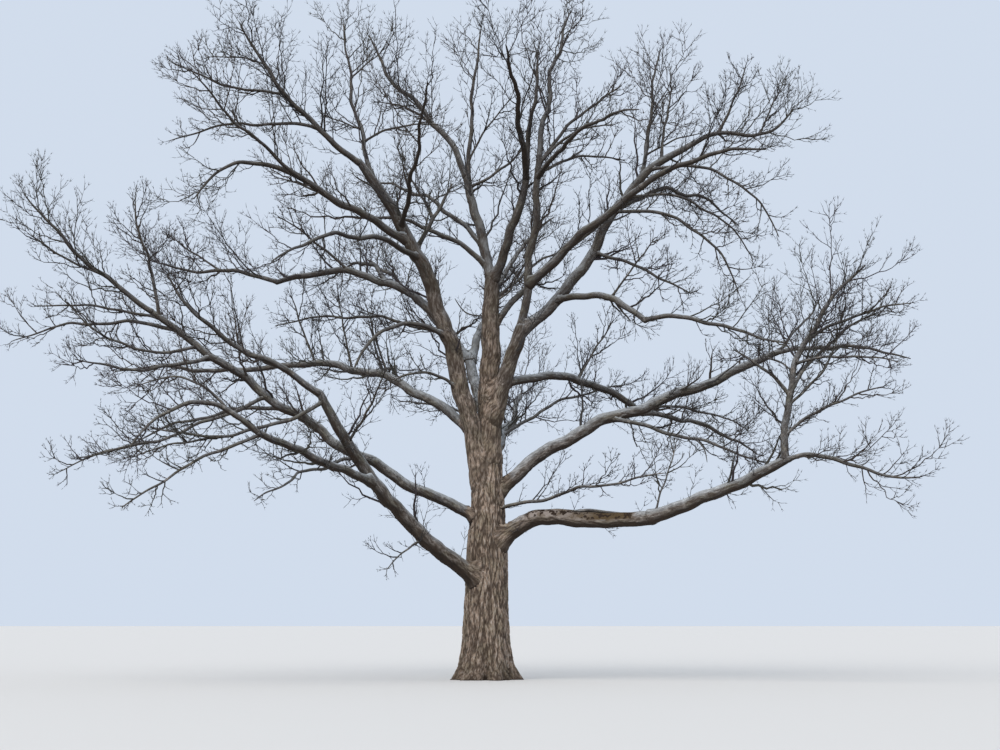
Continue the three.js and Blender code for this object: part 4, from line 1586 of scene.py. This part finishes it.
@dataclass
class Crown:
    """The limbs by name, worked out by the source's rule, and the twigs that grow on from them."""

    trunk: Trunk = field(default_factory=Trunk)
    carrier_places: int = 25
    box_margin: float = 0.02
    stem_step: float = 1.0
    limb_step: float = 0.8
    limbs: dict[str, Limb | Trunk] = field(default_factory=dict)
    regions: dict[str, Region] = field(default_factory=dict)
    seeds: dict[str, int] = field(default_factory=dict)

    def lay_out(self) -> None:
        """Places the trunk, the boughs, the stems of the masses and the lesser limbs."""
        self.limbs["trunk"] = self.trunk
        self.seeds["trunk"] = TRUNK_SEED
        for region, names in REGIONS.items():
            self.regions.update({name: region for name in names})
        for plans, seed in ((BOUGHS, BOUGH_SEED), (MASSES, STEM_SEED), (BRANCHES, BRANCH_SEED)):
            for index, (name, plan) in enumerate(plans.items()):
                self._place(name, plan, seed + index)

    def _place(self, name: str, plan: Plan, seed: int) -> None:
        """Starts a limb on its parent's line, or just inside that one's end where it goes on from it.

        Args:
            name: The limb's name.
            plan: Its plan.
            seed: Its seed.
        """
        parent = self.limbs[plan.parent]
        radius = float(parent.radii(np.array([float(plan.at)]))[0])
        share = 1 - Limb.seat * radius / parent.length if plan.at == 1 else plan.at
        start = parent.points(np.array([share]))[0]
        self.limbs[name] = Limb(name, plan, start, radius, seed)
        self.seeds[name] = seed
        self.regions.setdefault(name, self.regions[plan.parent])

    def space(self) -> Space:
        """The room for the twigs: the masses' own spaces, with the trunk and the boughs in between."""
        low, high = (np.array(corner) for corner in cad_box)
        return Space(
            stems=Lines.of([self.limbs[name] for name in MASSES], self.stem_step),
            limbs=Lines.of([self.trunk, *(self.limbs[name] for name in BOUGHS)], self.limb_step),
            low=low + self.box_margin,
            high=high - self.box_margin,
        )

    def carriers(self) -> Shoots:
        """The stems, the lesser limbs and the outer lengths of the boughs, which all carry shoots.

        Returns:
            A shoot for each of them. A bough's number counts from the trunk, which is 0.
        """
        shares = np.linspace(0, 1, self.carrier_places)
        rows = []
        for plans, seed in ((MASSES, MASS_SEED), (BRANCHES, BRANCH_SEED), (BOUGHS, BOUGH_SPRAY_SEED)):
            for index, (name, plan) in enumerate(plans.items()):
                if plans is BRANCHES and not plan.spread:
                    continue
                row = {
                    "points": self.limbs[name].points(shares),
                    "thick": plan.thick,
                    "thin": plan.thin,
                    "seed": seed + index,
                    "spread": plan.spread or BOUGH_SPREAD,
                    "full": plan.full,
                    "first": BOUGH_FIRST if plans is BOUGHS else 0.0,
                    "stem": index if plans is MASSES else NONE,
                    "bough": index + 1 if plans is BOUGHS else NONE,
                    "region": list(Region).index(self.regions[name]),
                    "spray": NONE,
                }
                rows.append(row)
        return Shoots(**{key: np.array([row[key] for row in rows]) for key in rows[0]})

    def twigs(self) -> list[tuple[Shoots, int]]:
        """All the twigs, order by order.

        Returns:
            The shoots of each order, and the number of sides that they have.
        """
        space = self.space()
        carriers = self.carriers()
        first = grow(carriers, SOURCE_FIRST, space)
        long = grow(carriers, LONG, space)
        on_long = grow(long, ON_LONG, space)
        pairs = ((first, SOURCE_SECOND), (carriers, BETWEEN), (carriers, TIPS), (long, TIPS))
        second = Shoots.joined([grow(parents, order, space) for parents, order in pairs])
        boughs = carriers.taken(carriers.bough != NONE)
        whole = replace(boughs, first=np.zeros(len(boughs.first)), full=np.ones(len(boughs.full)))
        second = Shoots.joined([second, grow(whole, SPROUTS, space)])
        pairs = [(parents, order) for parents in (first, on_long, second) for order in (FINE, FINE_TIPS)]
        fine = Shoots.joined([grow(parents, order, space) for parents, order in pairs])
        made = [(long, LONG.sides), (first, SOURCE_FIRST.sides), (on_long, ON_LONG.sides)]
        made += [(second, SOURCE_SECOND.sides), (fine, FINE.sides)]
        pairs = ((second, FINEST), (on_long, FINEST), (fine, FINEST), (fine, FINEST_TIPS))
        finest = Shoots.joined([grow(parents, order, space) for parents, order in pairs])
        made.append((finest, FINEST.sides))
        for shoots, _ in made:
            log.info("%d shoots of %d places", len(shoots.thick), shoots.points.shape[1])
        return made


@dataclass
class BarkPieces:
    """Builds and dresses the trunk and the limbs of each region of the crown."""

    crown: Crown
    trunk_facet: float = 0.015
    builder: BarkedLimb = field(default_factory=BarkedLimb)
    wounded: str = "right_low"
    join_step: float = 0.12
    join_share: float = 1.3  # size of a join, as a share of the limb's radius at its foot
    sleeve_share: float = 0.8  # the same where a limb goes on from its parent's end
    fork_share: float = 0.9  # a limb from beyond this share also joins the one that goes on from the end

    def build(self) -> None:
        """Makes the trunk, and then a piece of limbs for each region."""
        trunk = BarkedLimb(facet=self.trunk_facet).build(self.crown.trunk, self.crown.seeds["trunk"])
        self._dress("trunk_bark", trunk, BarkFinish("trunk_bark").material(), ["trunk"])
        finish = BarkFinish("bough_bark").material()
        for region in Region:
            names = [name for name, own in self.crown.regions.items() if own is region and name != "trunk"]
            skins = [self._limb(name) for name in names]
            nodes = [name for name in names if name in BOUGHS or name in MASSES]
            self._dress(f"limbs_{region.value}", Skin.joined(skins), finish, nodes)

    def _limb(self, name: str) -> Skin:
        """The surface of one limb.

        Args:
            name: The limb's name.

        Returns:
            The surface.
        """
        limb = self.crown.limbs[name]
        neighbours = [self.crown.limbs[limb.plan.parent]]
        if self.fork_share <= limb.plan.at < 1:
            neighbours += [
                other
                for other in self.crown.limbs.values()
                if isinstance(other, Limb) and other.plan.parent == limb.plan.parent and other.plan.at == 1
            ]
        share = self.sleeve_share if limb.plan.at == 1 else self.join_share
        join = Join(Lines.of(neighbours, self.join_step), share * limb.plan.thick)
        wound = Wound() if name == self.wounded else None
        return self.builder.build(limb, self.crown.seeds[name], join, wound)

    def _dress(self, name: str, skin: Skin, finish: bpy.types.Material, nodes: list[str]) -> None:
        """Makes a piece of bark, gives it its finish and seats it in the frame.

        Args:
            name: The piece's name.
            skin: Its surface.
            finish: Its material.
            nodes: The nodes that it stands for.
        """
        piece = mesh_object(name, skin.vertices, skin.faces)
        for key in MARKS:
            kept = piece.data.attributes.new(key, "FLOAT", "POINT")
            kept.data.foreach_set("value", getattr(skin, key).astype(np.float32))
        places = piece.data.attributes.new("grain", "FLOAT_VECTOR", "POINT")
        places.data.foreach_set("vector", skin.grain.astype(np.float32).ravel())
        piece.data.materials.append(finish)
        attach(piece, "root")
        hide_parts(*nodes)
        log.info("%s: %d triangles", name, len(skin.faces))


@dataclass
class TwigPieces:
    """Builds the twigs of each region of the crown as one joined piece."""

    crown: Crown

    def build(self) -> None:
        """Makes the twigs and deals out their colours by spray."""
        orders = self.crown.twigs()
        finishes = [finish.material() for finish in TWIG_FINISHES]
        for number, region in enumerate(Region):
            vertices, faces, slots = [], [], []
            start = 0
            for shoots, sides in orders:
                own = shoots.taken(shoots.region == number)
                corners, corner_faces = twig_surface(own, sides)
                per_wall = 2 * sides * (own.points.shape[1] - 2)
                shade = np.floor(Draws(own.spray).next() * len(finishes)).astype(int)
                slots += [np.repeat(shade, per_wall), np.repeat(shade, sides)]
                vertices.append(corners)
                faces.append(corner_faces + start)
                start += len(corners)
            name = f"twigs_{region.value}"
            piece = mesh_object(name, np.concatenate(vertices), np.concatenate(faces), np.concatenate(slots))
            for finish in finishes:
                piece.data.materials.append(finish)
            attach(piece, "root")
            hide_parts(*[mass for mass in MASSES if self.crown.regions[mass] is region])
            log.info("%s: %d triangles", name, len(piece.data.polygons))


@dataclass(frozen=True)
class Studio:
    """A plain pale floor, soft light all round, and the camera at eye height in front of the tree."""

    camera_place: tuple[float, float, float] = (0.4, -50.0, 1.6)
    camera_turn: float = 98.19  # degrees up from looking straight down
    lens: float = 62.06
    sensor: float = 36.0
    sight: float = 3600.0  # how far the camera sees
    floor_half: float = 900.0
    floor_colour: Colour = (0.6, 0.59, 0.57)
    floor_roughness: float = 0.9
    sky_colour: Colour = (0.64, 0.72, 0.84)
    sky_strength: float = 1.0
    sun_colour: Colour = (1.0, 0.94, 0.87)
    sun_strength: float = 2.6
    sun_angle: float = 60.0  # how broad the sun is, in degrees
    sun_lean: tuple[float, float, float] = (38.0, -24.0, 0.0)

    def build(self) -> None:
        """Makes the floor, the lights and the camera."""
        self._floor()
        self._lights()
        self._camera()

    def _floor(self) -> None:
        """Makes the floor, which isn't part of the tree."""
        half = self.floor_half
        corners = np.array([[-half, -half, 0], [half, -half, 0], [half, half, 0], [-half, half, 0]], float)
        floor = mesh_object("floor", corners, np.array([[0, 1, 2], [0, 2, 3]]))
        nodes = Nodes("floor")
        fill(nodes.shader, {"Base Color": (*self.floor_colour, 1), "Roughness": self.floor_roughness})
        floor.data.materials.append(nodes.material)

    def _lights(self) -> None:
        """Makes the light of the sky and a broad, soft sun."""
        world = bpy.data.worlds.new("studio")
        world.use_nodes = True
        sky = {"Color": (*self.sky_colour, 1), "Strength": self.sky_strength}
        fill(world.node_tree.nodes["Background"], sky)
        bpy.context.scene.world = world
        bpy.context.scene.view_settings.view_transform = "Standard"
        lamp = bpy.data.lights.new("soft_sun", "SUN")
        lamp.color = self.sun_colour
        lamp.energy = self.sun_strength
        lamp.angle = math.radians(self.sun_angle)
        sun = bpy.data.objects.new("soft_sun", lamp)
        sun.rotation_euler = [math.radians(angle) for angle in self.sun_lean]
        bpy.context.scene.collection.objects.link(sun)

    def _camera(self) -> None:
        """Makes the camera and turns it up towards the crown."""
        data = bpy.data.cameras.new("viewer")
        data.lens = self.lens
        data.sensor_width = self.sensor
        data.clip_end = self.sight
        camera = bpy.data.objects.new("viewer", data)
        camera.location = self.camera_place
        camera.rotation_euler = (math.radians(self.camera_turn), 0, 0)
        bpy.context.scene.collection.objects.link(camera)
        bpy.context.scene.camera = camera


def main() -> None:
    """Builds the tree and the studio round it."""
    logging.basicConfig(level=logging.INFO, format="%(name)s: %(message)s")
    crown = Crown()
    crown.lay_out()
    BarkPieces(crown).build()
    TwigPieces(crown).build()
    Studio().build()


if __name__ == "__main__":
    main()
